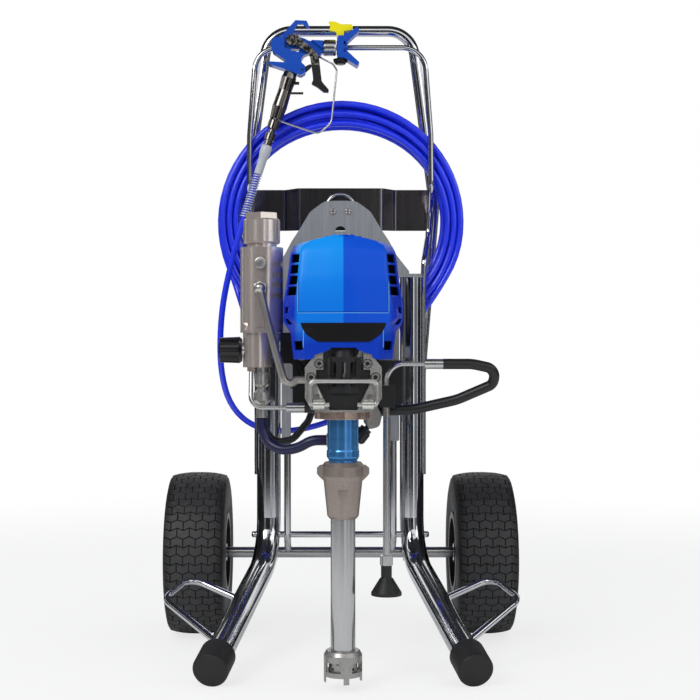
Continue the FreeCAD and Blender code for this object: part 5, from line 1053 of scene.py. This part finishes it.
# %% [markdown]
# ## Screws of the housing
# A socket screw reads as one by two dark shapes: the shade in its hexagon hole, and the shadow of
# the counterbore round its head. Both are painted shade, thin black pieces: a disc in the hole and
# a ring spun round the head, because a shadow that thin would be lost in the noise of a render.

# %% Painted shade in the screw sockets
SCREW_PLACES = ((34.5, 474.5), (46.0, 455.0), (-34.5, 474.5), (-46.0, 455.0))
SOCKET_RADIUS = 3.3 * MM
SOCKET_DEPTH = 2.6 * MM
# radius, and Y from the heads' faces: the painted shadow ring stands a little in front of them
SHADOW_RING_PROFILE = ((6.0, -0.4), (7.1, -0.4), (7.1, -0.1), (6.0, -0.1))
# painted shade: a black disc in each hexagon hole and a black ring for the counterbore's shadow
sockets = bmesh.new()
face_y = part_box("cap_screws")[0][1]
for x, z in SCREW_PLACES:
    bottom = Matrix.Translation((x * MM, face_y + SOCKET_DEPTH, z * MM))
    bmesh.ops.create_cone(sockets, cap_ends=True, segments=6, radius1=SOCKET_RADIUS,
                          radius2=SOCKET_RADIUS, depth=0.4 * MM,
                          matrix=bottom @ Matrix.Rotation(math.radians(90), 4, "X"))
    corners = [sockets.verts.new(((x + radius) * MM, face_y + depth * MM, z * MM))
               for radius, depth in SHADOW_RING_PROFILE]
    sides = [sockets.edges.new((corners[i - 1], corners[i])) for i in range(4)]
    bmesh.ops.spin(sockets, geom=corners + sides, cent=(x * MM, face_y, z * MM), axis=(0, 1, 0),
                   angle=math.tau, steps=32, use_merge=True)
bmesh.ops.recalc_face_normals(sockets, faces=sockets.faces)
screw_socket_shade = from_bmesh("screw_socket_shade", sockets, black_plastic)
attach(screw_socket_shade, "cart")
print("screw sockets:", len(screw_socket_shade.data.polygons), "faces")

# %% [markdown]
# ## Fittings of the manifold
# Three small fittings sit on the manifold's front: a plug, the hexagon nut of the crossover tube
# and the rounded elbow behind it. Cones with six or more sides and a sphere make them, turned so
# that their axis points forward, and a bevel breaks the edges that a wrench would have worn.

# %% Manifold's plug, nut and elbow
TUBE_RADIUS = 5.75 * MM
ELBOW_RADIUS, ELBOW_BACK = 8.4 * MM, 8.6 * MM
WORN_EDGE = 0.7 * MM
# sides, radius behind, radius in front, length, height above the tube's upper end
FITTINGS = ((32, 8.8, 8.2, 3.0, 38.0), (6, 10.5, 10.5, 16.0, 0.0))
tube_low, tube_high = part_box("crossover_tube")
block_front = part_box("manifold")[0][1]
boss_x = tube_low[0] + TUBE_RADIUS
boss_z = tube_high[2] - TUBE_RADIUS


def facing_front(x, y, z):
    """A turn and a place that point a shape's Z axis at the camera's side."""
    return Matrix.Translation((x, y, z)) @ Matrix.Rotation(math.radians(90), 4, "X")


fittings = bmesh.new()
for sides, behind, before, length, lift in FITTINGS:
    bmesh.ops.create_cone(fittings, cap_ends=True, segments=sides, radius1=behind * MM,
                          radius2=before * MM, depth=length * MM,
                          matrix=facing_front(boss_x, block_front, boss_z + lift * MM))
bmesh.ops.create_uvsphere(fittings, u_segments=32, v_segments=20, radius=ELBOW_RADIUS,
                          matrix=Matrix.Translation((boss_x, tube_low[1] + ELBOW_BACK, boss_z)))
sharp = [edge for edge in fittings.edges if edge.calc_face_angle(0.0) > math.radians(30)]
bmesh.ops.bevel(fittings, geom=sharp, offset=WORN_EDGE, affect="EDGES", segments=2, profile=0.5,
                material=-1)
manifold_fittings = from_bmesh("manifold_fittings", fittings, zinc)
smoothed(manifold_fittings, 32)
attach(manifold_fittings, "cart")
print("manifold fittings:", len(manifold_fittings.data.polygons), "faces")

# %% [markdown]
# ## Pieces that share a CAD node
# Some CAD nodes hold two finishes: the tip guard has a steel nut at its back, and the hose's
# guard is a clear sleeve above and a wire spring below. A copy of the node is split by a plane and
# each part gets its own finish. The band across the handle is also a copy: its front edge is let
# down a little, so that it mirrors the dark side of the room.

# %% Gun nut, tip guard, hose sleeve and mirror band
NUT_END = -0.0068
HOSE_EXIT = Vector((-0.12627, 0.121, 0.84733))
HOSE_WAY = Vector((-0.30693, 0.0, -0.95175))
SLEEVE_LENGTH = 0.0525
BAND_DROP = 7.0 * MM


def on_sleeve(place):
    """True on the clear sleeve, which is the upper part, and false on the spring."""
    return (place - HOSE_EXIT).dot(HOSE_WAY) < SLEEVE_LENGTH


clear = softened("spring_guard", "clear_sleeve", clear_sleeve, "cart", 0.4,
                 on_sleeve)
spring = softened("spring_guard", "hose_spring", spring_steel, "cart", 0.2,
                  lambda p: not on_sleeve(p))
print("sleeve", len(clear.data.polygons), "spring", len(spring.data.polygons))
nut = softened("tip_guard", "gun_nut", steel, "cart", 0.5, lambda p: p.x < NUT_END)
guard = softened("tip_guard", "soft_tip_guard", gun_blue, "cart", 0.6,
                 lambda p: p.x >= NUT_END)
band = softened("band_bracket", "mirror_band", band_mirror, "cart", 0.3)
low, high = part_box("band_bracket")
for point in band.data.vertices:
    forward = (high[1] - point.co.y) / (high[1] - low[1])
    point.co.z -= BAND_DROP * forward
print("gun nut", len(nut.data.polygons), "guard", len(guard.data.polygons), "band",
      len(band.data.polygons))

# %% [markdown] ## Last: the view layer is brought up to date
# The visual model must stay inside the CAD model's box.

# %% Finish
bpy.context.view_layer.update()
